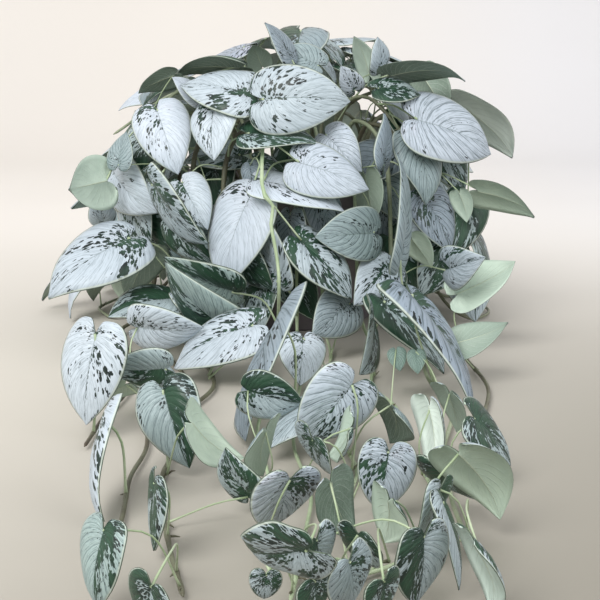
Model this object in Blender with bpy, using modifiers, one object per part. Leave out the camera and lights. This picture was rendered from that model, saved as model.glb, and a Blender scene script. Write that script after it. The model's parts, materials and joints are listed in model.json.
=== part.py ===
"""A satin pothos in its pot.

The pot stands on its flat underside, with the origin at the middle of it and +Z up.
The potting soil fills the pot, and each vine stands in a hole of its own in the soil.
A vine is one grown piece: a stem, the stalks that leave it, and their heart-shaped blades.
The front of the plant faces -Y.
"""
import math
import random
from collections import namedtuple

import bmesh
import bpy
from mathutils import Matrix, Vector
from mathutils.bvhtree import BVHTree
from mathutils.geometry import interpolate_bezier

MM = 0.001
GAP = 0.3 * MM

# Pot and soil
POT_HEIGHT = 150 * MM
POT_FOOT_RADIUS = 82 * MM
POT_RIM_RADIUS = 105 * MM
POT_WALL = 4 * MM
POT_FLOOR = 6 * MM
RIM_HEIGHT = 14 * MM
RIM_OVERHANG = 2.5 * MM
POT_SIDES = 26
DRAIN_RADIUS = 5 * MM
DRAIN_CIRCLE = 45 * MM
DRAIN_COUNT = 4
SOIL_TOP = 135 * MM
SOIL_CROWN = 3 * MM
HOLE_RADIUS = 3.8 * MM
HOLE_FLOOR = 105 * MM
HOLE_SIDES = 5

# Stems, stalks and blades
STEM_RADIUS = 2.6 * MM
BEND_STEP = math.radians(25)
STRAIGHT_STEP = 72 * MM
NODE_STEP = 9 * MM
STALK_HALF = 1.0 * MM
STALK_REACH = STALK_HALF * math.sqrt(2)
BLADE = 0.8 * MM
BLADE_ASPECT = 0.84
NOTCH_HALF = 1.6 * MM
STALK_LONGEST = 125 * MM
STALK_SHORTEST = 16 * MM
STALK_USUAL = 50 * MM
STALK_SIMPLE = 84 * MM
ROOM = 0.5 * MM
FLOOR_ROOM = 1 * MM
LYING = STEM_RADIUS + FLOOR_ROOM
SEED = 11

# The mound of leaves: a dome over the pot, and a low skirt where vines lie on the surface
MOUND_HALF_WIDTH = 262 * MM
MOUND_HALF_DEPTH = 200 * MM
MOUND_MIDDLE = 60 * MM
MOUND_RISE = 250 * MM
SKIRT = 45 * MM
HANG_CLEAR = 18 * MM
LAYER = 18 * MM

# The eye that the front view is drawn from, and the view's scale
EYE = Vector((8.4, -1174, 263.5)) * MM
EYE_TILT = math.radians(12)
VIEW_MIDDLE = 300
VIEW_SCALE = 1144


def sight(place):
    """The direction from the eye through a place in the front view, one unit deep."""
    across = (place[0] - VIEW_MIDDLE) / VIEW_SCALE
    rise = (VIEW_MIDDLE - place[1]) / VIEW_SCALE
    tilt_cos, tilt_sin = math.cos(EYE_TILT), math.sin(EYE_TILT)
    return Vector((across, tilt_cos + rise * tilt_sin, rise * tilt_cos - tilt_sin))


def foliage_height(x, y):
    """How high the foliage stands over a point of the ground."""
    inside = 1 - (x / MOUND_HALF_WIDTH) ** 2 - (y / MOUND_HALF_DEPTH) ** 2
    if inside <= 0:
        return SKIRT
    return MOUND_MIDDLE + MOUND_RISE * math.sqrt(inside)


def depth_on_foliage(place):
    """How deep the sight line of a place meets the foliage, or the pot's middle plane."""
    ray = sight(place)
    depth = 0.45
    while True:
        point = EYE + ray * depth
        if point.z <= foliage_height(point.x, point.y) or point.y >= 0:
            return depth
        depth += 3 * MM


def depth_at_height(place, height):
    return (height - EYE.z) / sight(place).z


def on_ground(place):
    """A point of a stem that lies on the surface, from its place in the front view."""
    return EYE + sight(place) * depth_at_height(place, LYING)


# Stems

def smooth_route(points, step):
    """Points along a smooth curve through the route's own points."""
    ends = [points[0] * 2 - points[1]] + list(points) + [points[-1] * 2 - points[-2]]
    route = []
    for before, here, after, beyond in zip(ends, ends[1:], ends[2:], ends[3:]):
        count = max(2, round((after - here).length / step))
        first = here + (after - before) / 6
        second = after - (beyond - here) / 6
        route += interpolate_bezier(here, first, second, after, count + 1)[:-1]
    return [Vector(point) for point in route] + [Vector(points[-1])]


def thinned(route):
    """The route with only the points that its bends need."""
    kept = [route[0]]
    heading = (route[1] - route[0]).normalized()
    for here, after in zip(route[1:], route[2:]):
        ahead = (after - here).normalized()
        if ahead.angle(heading) > BEND_STEP or (here - kept[-1]).length > STRAIGHT_STEP:
            kept.append(here)
            heading = ahead
    return kept + [route[-1]]


def polar(radius, azimuth, height):
    angle = math.radians(azimuth)
    return Vector((radius * math.cos(angle), radius * math.sin(angle), height))


Vine = namedtuple("Vine", "name azimuth root apex shoulder foot trail")


def crown(name, azimuth, root, apex, shoulder, end):
    """A stem that arches over inside the mound and ends in it."""
    return Vine(name, azimuth, root, apex, shoulder, None, [polar(*end)])


def trailing(name, azimuth, root, apex, shoulder, foot, trail):
    """A stem that arches over the rim, drops, and lies along the surface."""
    return Vine(name, azimuth, root, apex, shoulder, foot, trail)


def hanging(name, azimuth, root, apex, places, trail):
    """A stem that hangs in front of the leaves, where the front view shows it, and then lies."""
    drop = [EYE + sight(place) * (depth_on_foliage(place) - HANG_CLEAR) for place in places]
    return Vine(name, azimuth, root, apex, None, None, drop + trail)


def stem_route(vine):
    """A vine's stem from the floor of its hole to its end."""
    rooted = polar(vine.root * MM, vine.azimuth, HOLE_FLOOR + GAP)
    emerging = polar(vine.root * MM, vine.azimuth, SOIL_TOP + 2 * SOIL_CROWN)
    apex = polar(vine.apex[0] * MM, vine.azimuth, vine.apex[1] * MM)
    points = [emerging, emerging * 0.6 + apex * 0.4, apex]
    if vine.shoulder:
        points.append(polar(vine.shoulder[0] * MM, vine.azimuth, vine.shoulder[1] * MM))
    if vine.foot:
        points.append(polar(vine.foot * MM, vine.azimuth, 56 * MM))
        points.append(polar((vine.foot + 13) * MM, vine.azimuth, 20 * MM))
        points.append(polar((vine.foot + 38) * MM, vine.azimuth, LYING))
    return [rooted] + thinned(smooth_route(points + vine.trail, 8 * MM))


def ground(*places):
    return [Vector((x, y, 0)) * MM + Vector((0, 0, LYING)) for x, y in places]


def seen(*places):
    return [on_ground(place) for place in places]


VINES = [
    crown("vine_crown_front", -84, 22, (48, 215), (95, 235), (135 * MM, -80, 215 * MM)),
    crown("vine_crown_right", -22, 34, (62, 218), (120, 232), (178 * MM, -26, 196 * MM)),
    crown("vine_crown_back_right", 42, 30, (50, 214), (100, 234), (158 * MM, 40, 204 * MM)),
    crown("vine_crown_back", 104, 32, (52, 210), (92, 232), (138 * MM, 100, 200 * MM)),
    crown("vine_crown_left", 168, 34, (60, 210), (118, 228), (180 * MM, 176, 188 * MM)),
    crown("vine_crown_front_left", -140, 32, (64, 228), (120, 240), (172 * MM, -146, 200 * MM)),
    crown("vine_crown_front_right", -52, 46, (76, 214), (118, 226), (160 * MM, -48, 190 * MM)),
    trailing("vine_front_far_left", -148, 62, (92, 196), (142, 170), 156,
             seen((140, 372), (124, 396), (106, 414), (86, 444))),
    trailing("vine_front_left", -130, 64, (94, 204), (138, 176), 152,
             seen((186, 382), (152, 414), (146, 449), (130, 478), (122, 518), (106, 566))),
    trailing("vine_front_left_inner", -116, 60, (92, 196), (136, 168), 150,
             seen((214, 384), (190, 410), (176, 446), (161, 484), (168, 540), (182, 592))),
    hanging("vine_front_middle_left", -104, 62, (94, 222),
            ((262, 184), (273, 206), (271, 224), (277, 258), (279, 290)),
            seen((276, 350), (266, 380), (262, 408), (257, 440), (268, 476), (260, 520), (268, 566))),
    trailing("vine_front_middle", -88, 60, (92, 198), (138, 178), 152,
             seen((300, 384), (294, 412), (294, 446), (302, 470), (311, 497), (306, 529), (300, 560),
                  (291, 598))),
    trailing("vine_front_middle_right", -79, 62, (94, 208), (138, 172), 150,
             seen((328, 384), (348, 410), (346, 444), (357, 473), (341, 512), (348, 542))),
    trailing("vine_front_right_inner", -66, 60, (92, 198), (136, 170), 152,
             seen((372, 384), (396, 408), (406, 444), (427, 478), (436, 505), (434, 531),
                  (420, 549), (396, 564), (369, 573), (330, 586))),
    trailing("vine_front_right", -52, 66, (98, 204), (142, 174), 154,
             seen((428, 378), (452, 408), (444, 450), (450, 492), (463, 530), (478, 556))),
    trailing("vine_front_far_right", -36, 62, (94, 200), (142, 168), 156,
             seen((466, 358), (488, 388), (482, 428), (497, 470))),
    trailing("vine_right", -12, 58, (92, 206), (136, 180), 146,
             ground((196, -30), (206, -4), (200, 34), (182, 64))),
    trailing("vine_right_back", 22, 60, (94, 200), (138, 176), 146,
             ground((184, 94), (188, 126), (172, 160), (148, 178))),
    trailing("vine_back_right", 56, 60, (92, 204), (136, 176), 146,
             ground((118, 184), (132, 208), (124, 238))),
    trailing("vine_back", 80, 58, (90, 198), (134, 172), 146,
             ground((30, 208), (24, 232), (38, 258))),
    trailing("vine_back_left", 120, 58, (90, 202), (136, 174), 146,
             ground((-94, 182), (-84, 212), (-100, 244))),
    trailing("vine_left_back", 150, 62, (94, 204), (136, 178), 146,
             ground((-172, 106), (-184, 134), (-172, 176), (-142, 200))),
    trailing("vine_left", -170, 58, (92, 208), (136, 182), 146,
             ground((-194, -18), (-204, 10), (-196, 44), (-184, 74))),
]


# Blades

Sheet = namedtuple("Sheet", "places faces rim")
LOBE_BACK = ((0.13, -0.15), (0.29, -0.18), (0.40, -0.03), (0.40, 0.20))
LOBE_FRONT = ((0.40, 0.20), (0.40, 0.53), (0.19, 0.83), (0.0, 1.0))
MIDRIB_POWER = 2.6
SEEN_ROWS = (0.0, 0.26, 0.52, 0.77, 1.0)
PLAIN_ROWS = (0.0, 0.38, 0.70, 1.0)


def bezier_point(handles, part):
    left = 1 - part
    weights = (left ** 3, 3 * left * left * part, 3 * left * part * part, part ** 3)
    return tuple(sum(w * p[axis] for w, p in zip(weights, handles)) for axis in (0, 1))


def edge_place(part):
    """The blade's half outline, from the back of its lobe at 0 to its tip at 1."""
    if part < 0.5:
        return bezier_point(LOBE_BACK, part * 2)
    return bezier_point(LOBE_FRONT, part * 2 - 1)


def blade_sheet(rows):
    """A flat heart one unit long, its notch at the origin, with a short edge for the stalk."""
    sheet = bmesh.new()
    bmesh.ops.create_grid(sheet, x_segments=3, y_segments=len(rows) - 1, size=1)
    for vert in sheet.verts:
        row = round((vert.co.y + 1) / 2 * (len(rows) - 1))
        column = round((vert.co.x + 1) / 2 * 3)
        side = -1 if column < 2 else 1
        if column in (0, 3):
            half, along = edge_place(rows[row])
        else:
            half, along = (0.02 if row == 0 else 0), rows[row] ** MIDRIB_POWER
        vert.co = (side * half, along, 0)
    bmesh.ops.remove_doubles(sheet, verts=sheet.verts, dist=0.001)
    bmesh.ops.triangulate(sheet, faces=sheet.faces)
    sheet.verts.index_update()
    places = [vert.co.copy() for vert in sheet.verts]
    faces = [[vert.index for vert in face.verts] for face in sheet.faces]
    rim = [[vert.index for vert in edge.verts] for edge in sheet.edges if edge.is_boundary]
    sheet.free()
    return Sheet(places, faces, rim)


SEEN_SHEET = blade_sheet(SEEN_ROWS)
PLAIN_SHEET = blade_sheet(PLAIN_ROWS)
Leaf = namedtuple("Leaf", "base tip facing width bow fold twist sheet")


def leaf_axes(leaf):
    along = (leaf.tip - leaf.base).normalized()
    up = (leaf.facing - along * leaf.facing.dot(along)).normalized()
    return along.cross(up), along, up


def blade_point(leaf, place):
    """A point of the flat heart, bowed along, folded at the midrib and twisted to the tip."""
    across, along, up = leaf_axes(leaf)
    length = (leaf.tip - leaf.base).length
    half = place.x * leaf.width / 0.8
    turn = leaf.twist * place.y
    lift = abs(place.x) * leaf.fold * leaf.width + 4 * leaf.bow * length * place.y * (1 - place.y)
    side = across * (half * math.cos(turn)) + up * (half * math.sin(turn))
    return leaf.base + along * (place.y * length) + side + up * lift


def blade_points(leaf):
    points = [blade_point(leaf, place) for place in leaf.sheet.places]
    for index, place in enumerate(leaf.sheet.places):
        if 0 < abs(place.x) < 0.03:
            across = leaf_axes(leaf)[0]
            points[index] = leaf.base + across * math.copysign(NOTCH_HALF, place.x)
    return points


def shell(leaf, room):
    """A closed skin round a blade, with room on every side of it."""
    across, along, up = leaf_axes(leaf)
    points = blade_points(leaf._replace(tip=leaf.tip + along * room, width=leaf.width + 2 * room))
    shift = up * (BLADE / 2 + room)
    count = len(points)
    faces = leaf.sheet.faces + [[index + count for index in face] for face in leaf.sheet.faces]
    faces += [[one, other, other + count, one + count] for one, other in leaf.sheet.rim]
    return [p + shift for p in points] + [p - shift for p in points], faces


def tube_shell(points, radius, sides=5):
    """A closed tube round a route, to test what a stem or a stalk would touch."""
    last = (len(points) - 1) * sides
    corners, faces = [], [list(range(sides)), list(range(last, last + sides))]
    reach = radius / math.cos(math.pi / sides)
    for index, point in enumerate(points):
        ahead = points[min(index + 1, len(points) - 1)] - points[max(index - 1, 0)]
        turn = ahead.to_track_quat("Z", "X")
        for corner in range(sides):
            angle = corner * math.tau / sides
            corners.append(point + turn @ Vector((math.cos(angle), math.sin(angle), 0)) * reach)
    for ring in range(len(points) - 1):
        for corner in range(sides):
            start, after = ring * sides + corner, ring * sides + (corner + 1) % sides
            faces.append([start, after, after + sides, start + sides])
    return corners, faces


# What is placed so far

Placed = namedtuple("Placed", "vine kind low high tree")


def corners_of(points):
    low = Vector([min(p[axis] for p in points) for axis in range(3)])
    high = Vector([max(p[axis] for p in points) for axis in range(3)])
    return low, high


def placed(vine, kind, points, faces):
    low, high = corners_of(points)
    return Placed(vine, kind, low, high, BVHTree.FromPolygons(points, faces))


def apart(one, two):
    return any(one.high[axis] < two.low[axis] or one.low[axis] > two.high[axis] for axis in range(3))


def touched(piece, others, own_vine=None, loose=False):
    """Whether a piece would cross another one. It may cross its own stem, or if loose its own vine."""
    for other in others:
        if apart(piece, other):
            continue
        if own_vine and other.vine == own_vine and (loose or other.kind == "stem"):
            continue
        if piece.tree.overlap(other.tree):
            return True
    return False


def pot_shell():
    """The outside of the pot and the top of the soil, as a plain cone to keep clear of."""
    cone = bmesh.new()
    bmesh.ops.create_cone(cone, cap_ends=True, segments=24, radius1=POT_FOOT_RADIUS + 2 * MM,
                          radius2=POT_RIM_RADIUS + 3 * MM, depth=POT_HEIGHT,
                          matrix=Matrix.Translation((0, 0, POT_HEIGHT / 2 + MM)))
    cone.verts.index_update()
    points = [vert.co.copy() for vert in cone.verts]
    faces = [[vert.index for vert in face.verts] for face in cone.faces]
    cone.free()
    return placed(None, "pot", points, faces)


# Leaves read from the front view

Seen = namedtuple("Seen", "base tip width layer heights under")


def mound(base, tip, width, layer=0, under=False):
    """A leaf on the mound. Its layer counts inwards from the outermost leaves."""
    return Seen(base, tip, width, layer, None, under)


def low(base, tip, width, heights=(45, 6), under=False):
    """A leaf of a vine that lies on the surface, with the heights of its base and tip."""
    return Seen(base, tip, width, 0, [height * MM for height in heights], under)


LOW_LEAVES = [
    low((412, 294), (478, 400), 32, (78, 8)),
    low((279, 318), (242, 440), 18, (72, 8)),
    low((372, 317), (361, 375), 18, (54, 20)),
    low((252, 325), (172, 366), 48, (50, 13)),
    low((317, 540), (318, 577), 36, (45, 18)),
    low((440, 490), (405, 556), 22),
    low((358, 535), (370, 568), 32, (45, 20)),
    low((103, 530), (96, 610), 46),
    low((151, 587), (149, 628), 44, (45, 18)),
    low((154, 483), (153, 551), 16),
    low((315, 582), (315, 614), 34, (42, 20)),
    low((350, 562), (350, 608), 40, (45, 14)),
    low((384, 582), (383, 614), 36, (42, 20)),
    low((425, 537), (415, 605), 50),
    low((266, 575), (264, 600), 34, (28, 12)),
    low((306, 551), (241, 546), 48, (42, 30)),
    low((443, 502), (461, 590), 12),
    low((476, 542), (497, 606), 24, (45, 6), True),
    low((290, 480), (270, 530), 60),
    low((248, 497), (224, 450), 40, (14, 46)),
    low((330, 482), (352, 538), 48, (45, 10), True),
    low((390, 500), (385, 542), 40, (40, 8), True),
    low((389, 452), (380, 513), 60),
    low((440, 470), (476, 498), 28, (36, 8)),
    low((460, 452), (502, 514), 62, (52, 10), True),
    low((475, 418), (513, 465), 34, (50, 14)),
    low((431, 406), (430, 477), 31, (52, 8), True),
    low((391, 405), (394, 440), 42, (44, 8), True),
    low((450, 393), (458, 431), 30, (44, 10), True),
    low((248, 391), (304, 404), 48, (46, 34)),
    low((352, 385), (299, 444), 68, (52, 8)),
    low((265, 430), (262, 476), 30, (45, 8), True),
    low((312, 440), (327, 470), 16, (40, 10)),
    low((352, 428), (332, 456), 24, (38, 10), True),
    low((163, 390), (188, 469), 66, (56, 8)),
    low((104, 418), (96, 521), 10, (52, 6)),
    low((190, 424), (240, 460), 46, (44, 12), True),
    low((125, 384), (100, 400), 28, (40, 24), True),
    low((95, 334), (86, 425), 62, (76, 12)),
]

MOUND_LEAVES = [
    mound((165, 369), (108, 368), 40),
    mound((137, 328), (203, 329), 48),
    mound((175, 297), (108, 316), 34, 1),
    mound((303, 338), (300, 385), 48, 1),
    mound((385, 301), (445, 373), 38, -0.5),
    mound((396, 350), (400, 371), 20, 1),
    mound((416, 352), (418, 374), 20, 1),
    mound((454, 345), (509, 324), 35, 0, True),
    mound((350, 303), (313, 335), 52, 1),
    mound((251, 93), (180, 84), 48),
    mound((157, 110), (178, 174), 59),
    mound((214, 102), (213, 160), 46),
    mound((263, 99), (351, 100), 70, -0.6),
    mound((249, 133), (320, 141), 34, -0.5),
    mound((326, 135), (361, 171), 45, 0.6),
    mound((299, 162), (370, 188), 54),
    mound((264, 180), (346, 209), 34),
    mound((374, 233), (316, 237), 56, 1),
    mound((301, 240), (352, 299), 42),
    mound((391, 265), (355, 304), 52),
    mound((400, 260), (402, 153), 12),
    mound((384, 165), (388, 113), 12),
    mound((366, 176), (372, 226), 30, 2.6, True),
    mound((417, 119), (493, 153), 60),
    mound((453, 99), (514, 155), 44, 1, True),
    mound((391, 74), (466, 76), 24, 0, True),
    mound((370, 75), (354, 36), 24, 1, True),
    mound((380, 70), (378, 37), 20, 0.5),
    mound((378, 88), (421, 94), 22),
    mound((388, 98), (413, 140), 16),
    mound((400, 115), (415, 166), 26, 1),
    mound((355, 90), (341, 66), 26, 1),
    mound((424, 195), (452, 252), 44),
    mound((445, 270), (483, 258), 46),
    mound((458, 295), (517, 263), 44, 0, True),
    mound((479, 190), (536, 215), 30, 0, True),
    mound((460, 193), (468, 222), 22, 1, True),
    mound((410, 226), (431, 236), 24, 1),
    mound((412, 238), (432, 268), 28, 2, True),
    mound((318, 65), (276, 50), 34, 1),
    mound((292, 60), (266, 22), 20, 1),
    mound((262, 66), (252, 44), 26, 2, True),
    mound((313, 48), (337, 82), 12, 1),
    mound((240, 66), (176, 70), 24, 1, True),
    mound((174, 74), (138, 92), 24, 1, True),
    mound((200, 98), (172, 77), 22, 1),
    mound((154, 92), (118, 110), 14, 2),
    mound((106, 181), (68, 190), 56, 0, True),
    mound((118, 165), (126, 131), 26, 1),
    mound((110, 170), (154, 214), 46),
    mound((104, 222), (96, 194), 28, 1),
    mound((128, 238), (46, 293), 64),
    mound((152, 185), (204, 247), 26),
    mound((172, 222), (215, 266), 40, 1),
    mound((232, 292), (163, 258), 34),
    mound((221, 326), (164, 262), 46, -0.3),
    mound((182, 183), (207, 229), 46, 1),
    mound((240, 155), (181, 161), 28, 1),
    mound((250, 195), (225, 289), 60),
    mound((277, 281), (258, 205), 34),
    mound((290, 215), (288, 265), 30, 1),
    mound((250, 165), (255, 192), 22, 1),
    mound((255, 160), (290, 180), 26, 1),
    mound((214, 212), (200, 250), 30, 2),
    mound((262, 285), (258, 335), 34, 1),
    mound((150, 250), (128, 300), 40, 2, True),
    mound((424, 76), (446, 120), 36, 2, True),
]

SLIDE = 4 * MM
SLIDES = [0, 1, 2, -1, 3, -2, 4, -3, 5, 6, -4, 7, 8, -5, 9, 10, 11, 12, 14, 16, 18, 20, 22, 24, 27, 30]
LIFTS = [0, -1, -2, 1, -3, -4, 2, -5, -6, -7, 3, -8, -9, -10, 4, -11, -12, -14, -16, 6, -18]
SHAPES_TRIED = 3
SMALL_WIDTH = 36


def outward(point):
    """The way the foliage faces at a point: out of the dome, and up on the skirt."""
    lean = Vector((point.x / MOUND_HALF_WIDTH ** 2, point.y / MOUND_HALF_DEPTH ** 2,
                   max(point.z - MOUND_MIDDLE, 0) / MOUND_RISE ** 2 + 1))
    return lean.normalized()


def facing_for(base, tip, width_share, under):
    """The upper face's direction, turned about the midrib until the blade looks narrow enough."""
    along = (tip - base).normalized()
    to_eye = EYE - (base + tip) / 2
    full = (to_eye - along * to_eye.dot(along)).normalized()
    turn = math.acos(max(0.1, min(1, width_share)))
    ways = [Matrix.Rotation(turn * side, 3, along) @ full for side in (1, -1)]
    if under:
        ways = [-way for way in ways]
    return max(ways, key=outward((base + tip) / 2).dot)


def nearer_depth(place, base, length):
    """The depth on a place's sight line, on its near side, at a length from the base."""
    ray = sight(place)
    to_base = base - EYE
    middle = ray.dot(to_base) / ray.length_squared
    short = length ** 2 - (EYE + ray * middle - base).length_squared
    return middle - math.sqrt(max(short, 0) / ray.length_squared)


def leaf_from_view(seen_leaf, slide, shape):
    """A leaf as the front view shows it, moved along the sight lines by a slide."""
    if seen_leaf.heights:
        base_depth = depth_at_height(seen_leaf.base, seen_leaf.heights[0]) + slide
        tip_depth = depth_at_height(seen_leaf.tip, seen_leaf.heights[1]) + slide
    else:
        base_depth = depth_on_foliage(seen_leaf.base) + seen_leaf.layer * LAYER + slide
        tip_depth = depth_on_foliage(seen_leaf.tip) + seen_leaf.layer * LAYER + slide
    base = EYE + sight(seen_leaf.base) * base_depth
    width = seen_leaf.width * base_depth / VIEW_SCALE
    tip = EYE + sight(seen_leaf.tip) * tip_depth
    if not seen_leaf.heights:
        flat = (EYE + sight(seen_leaf.tip) * base_depth - base).length
        length = max(flat, width / BLADE_ASPECT)
        if (tip - base).length > 1.25 * length or length > 1.02 * flat:
            tip = EYE + sight(seen_leaf.tip) * nearer_depth(seen_leaf.tip, base, length)
    length = (tip - base).length
    true_width = min(max(length * BLADE_ASPECT, width), length)
    facing = facing_for(base, tip, width / true_width, seen_leaf.under)
    return Leaf(base, tip, facing, true_width, *shape)


# Stalks

Node = namedtuple("Node", "vine point ahead")
STALK_WAYS = ((0.8, 0.7), (0.2, 0.4), (-0.3, 0.9), (0.8, 1.3), (0.1, 1.4), (1.5, 0.2))
NODES_TRIED = 90


def stalk_route(node, leaf, rise, bend):
    """A stalk from the middle of a stem to a blade's notch: how it rises, then bends down into it."""
    across, along, up = leaf_axes(leaf)
    span = (leaf.base - node.point).length
    start = node.point + (node.ahead * 0.5 + Vector((0, 0, rise))).normalized() * span * 0.38
    arrival = along * math.cos(bend) + up * math.sin(bend)
    finish = leaf.base - arrival * min(span * 0.35, 22 * MM)
    count = 3 if span < STALK_SIMPLE else 4
    return [Vector(p) for p in interpolate_bezier(node.point, start, finish, leaf.base, count)]


def find_stalk(leaf, blade, nodes, others, loose=False):
    """The first stem point, nearest the usual length, that a clear stalk can reach."""
    reach = []
    for node in nodes:
        span = (leaf.base - node.point).length
        if STALK_SHORTEST < span < STALK_LONGEST:
            reach.append((abs(span - STALK_USUAL), node))
    reach.sort(key=lambda entry: entry[0])
    for _, node in reach[:NODES_TRIED]:
        for rise, bend in STALK_WAYS:
            route = stalk_route(node, leaf, rise, bend)
            if min(point.z for point in route) < STALK_HALF + FLOOR_ROOM:
                continue
            tube = placed(node.vine, "stalk", *tube_shell(route, STALK_REACH + ROOM))
            if touched(tube, others, node.vine, loose):
                continue
            early = placed(node.vine, "stalk", *tube_shell(route[:-1], STALK_REACH + ROOM))
            if not early.tree.overlap(blade.tree):
                return node, route, tube
    return None


Grown = namedtuple("Grown", "vine leaf route source")


def try_leaves(source, candidates, nodes, others):
    """Grow the first of the candidate leaves that has room, with its stalk."""
    roomy = []
    for leaf in candidates:
        points, faces = shell(leaf, ROOM)
        if min(point.z for point in points) < FLOOR_ROOM:
            continue
        blade = placed(None, "blade", points, faces)
        if touched(blade, others):
            continue
        roomy.append((leaf, blade))
        found = find_stalk(leaf, blade, nodes, others)
        if found:
            return keep_leaf(source, leaf, blade, found, others)
    for leaf, blade in roomy:
        found = find_stalk(leaf, blade, nodes, others, loose=True)
        if found:
            return keep_leaf(source, leaf, blade, found, others)
    return None


def keep_leaf(source, leaf, blade, found, others):
    node, route, tube = found
    others.append(blade._replace(vine=node.vine))
    others.append(tube)
    return Grown(node.vine, leaf, route, source)


BOWS = (0.03, 0.09)
FOLDS = (-0.16, 0.10)
TWISTS = (-0.25, 0.25)
WIDTH_SHARES = (0.76, 0.86)


def leaf_shape(draw, sheet=PLAIN_SHEET):
    """Bow, fold and twist of one blade, and the sheet that it is made from."""
    return draw.uniform(*BOWS), draw.uniform(*FOLDS), draw.uniform(*TWISTS), sheet


# Leaves of the sides and the back, by rule

Ring = namedtuple("Ring", "height count length")
RINGS = [Ring(280, 3, 84), Ring(244, 6, 96), Ring(204, 8, 104), Ring(160, 9, 106),
         Ring(116, 9, 104), Ring(76, 7, 94)]
SIDE_START, SIDE_END = -19, 199
SIDE_REACH = 0.78
SIDE_SINK = 0.015
SIDE_DROP = 60 * MM
SIDE_DEPTH = 1.1
SIDE_SWING = 1.2
SIDE_LIFTS = (0.05, 0.55)
SIDE_SIZES = (0.85, 1.12)
RULE_TRIES = 28
LOWEST_TIP = 8 * MM
TOP_COUNT = 26
TOP_RADIUS = 118 * MM
TOP_SIZES = (56, 82)
TOP_DROP, TOP_SINK = 14 * MM, 3 * MM
TOP_TRIES = 24
TOP_FRONT = -40 * MM
SKYLINE = ((40, 330), (60, 290), (66, 186), (100, 152), (126, 112), (140, 85), (200, 57), (255, 34),
           (300, 22), (352, 36), (384, 40), (410, 62), (468, 76), (492, 118), (500, 330))
OUTLINE_FOOT = 330
GOLDEN_ANGLE = math.pi * (3 - math.sqrt(5))


def side_leaf(azimuth, height, length, sink, draw):
    """A leaf on the dome, tip down and out, like a roof tile."""
    angle = math.radians(azimuth)
    out = Vector((math.cos(angle), math.sin(angle), 0))
    reach = math.sqrt(max(0.0, 1 - ((height - MOUND_MIDDLE) / MOUND_RISE) ** 2))
    base = Vector((MOUND_HALF_WIDTH * out.x, MOUND_HALF_DEPTH * SIDE_DEPTH * out.y, 0)) * reach
    base *= SIDE_REACH - sink
    base.z = height - sink * SIDE_DROP
    normal = (outward(base) + out * 0.6).normalized()
    down = Vector((0, 0, -1))
    downhill = (down - normal * down.dot(normal)).normalized()
    swing = Matrix.Rotation(draw.uniform(-SIDE_SWING, SIDE_SWING), 3, normal)
    heading = (swing @ downhill + normal * draw.uniform(*SIDE_LIFTS)).normalized()
    size = length * draw.uniform(*SIDE_SIZES)
    tip = base + heading * size
    tip.z = max(tip.z, LOWEST_TIP)
    facing = normal + Vector((draw.uniform(-0.25, 0.25), draw.uniform(-0.25, 0.25), 0))
    return Leaf(base, tip, facing, size * draw.uniform(*WIDTH_SHARES), *leaf_shape(draw))


def top_leaf(step, drop, draw):
    """A leaf over the middle of the pot, face up, tip outwards."""
    angle = step * GOLDEN_ANGLE + draw.uniform(-0.3, 0.3)
    base = polar(TOP_RADIUS * math.sqrt((step + 0.6) / TOP_COUNT), math.degrees(angle), 0)
    base.z = foliage_height(base.x, base.y) - drop
    turn = angle + draw.uniform(-1.6, 1.6)
    size = draw.uniform(*TOP_SIZES) * MM
    heading = Vector((math.cos(turn), math.sin(turn), draw.uniform(-0.5, 0.05))).normalized()
    lean = Vector((draw.uniform(-0.1, 0.1), draw.uniform(-0.1, 0.1), 0.3))
    facing = Vector((base.x * 2, base.y * 2, 0)) + lean
    return Leaf(base, base + heading * size, facing, size * draw.uniform(*WIDTH_SHARES), *leaf_shape(draw))


def place_of(point):
    """Where the eye sees a point in the front view."""
    offset = point - EYE
    tilt_cos, tilt_sin = math.cos(EYE_TILT), math.sin(EYE_TILT)
    depth = offset.y * tilt_cos - offset.z * tilt_sin
    rise = offset.y * tilt_sin + offset.z * tilt_cos
    return VIEW_MIDDLE + VIEW_SCALE * offset.x / depth, VIEW_MIDDLE - VIEW_SCALE * rise / depth


def skyline_at(x):
    """How high the mound's outline stands in the front view."""
    for (left, start), (right, end) in zip(SKYLINE, SKYLINE[1:]):
        if left <= x <= right:
            return start + (end - start) * (x - left) / (right - left)
    return OUTLINE_FOOT


def under_skyline(leaves):
    """The leaves that the eye wouldn't see over the mound's outline."""
    kept = []
    for leaf in leaves:
        places = [place_of(point) for point in blade_points(leaf)]
        if all(y > skyline_at(x) or y > OUTLINE_FOOT for x, y in places):
            kept.append(leaf)
    return kept


def top_leaves(draw, nodes, others):
    grown = []
    for step in range(TOP_COUNT):
        tries = [top_leaf(step, TOP_DROP + attempt * TOP_SINK, draw) for attempt in range(TOP_TRIES)]
        behind = [leaf for leaf in under_skyline(tries) if leaf.base.y > TOP_FRONT]
        grown.append(try_leaves(("top", step), behind, nodes, others))
    return grown


def side_leaves(draw, nodes, others):
    grown = []
    for row, ring in enumerate(RINGS):
        for step in range(ring.count):
            azimuth = SIDE_START + (SIDE_END - SIDE_START) * (step + (row % 2) * 0.5) / ring.count
            tries = []
            for attempt in range(RULE_TRIES):
                height = (ring.height + draw.uniform(-12, 12)) * MM
                turned = azimuth + draw.uniform(-6, 6)
                sink = SIDE_SINK * (attempt + 1)
                tries.append(side_leaf(turned, height, ring.length * MM, sink, draw))
            grown.append(try_leaves(("side", row, step), under_skyline(tries), nodes, others))
    return grown


# Leaves of the vines that lie behind and beside the pot

GROUND_STEP = 6
GROUND_SIZES = (54, 72)
GROUND_VINES = ("vine_right", "vine_right_back", "vine_back_right", "vine_back", "vine_back_left",
                "vine_left_back", "vine_left")


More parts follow.
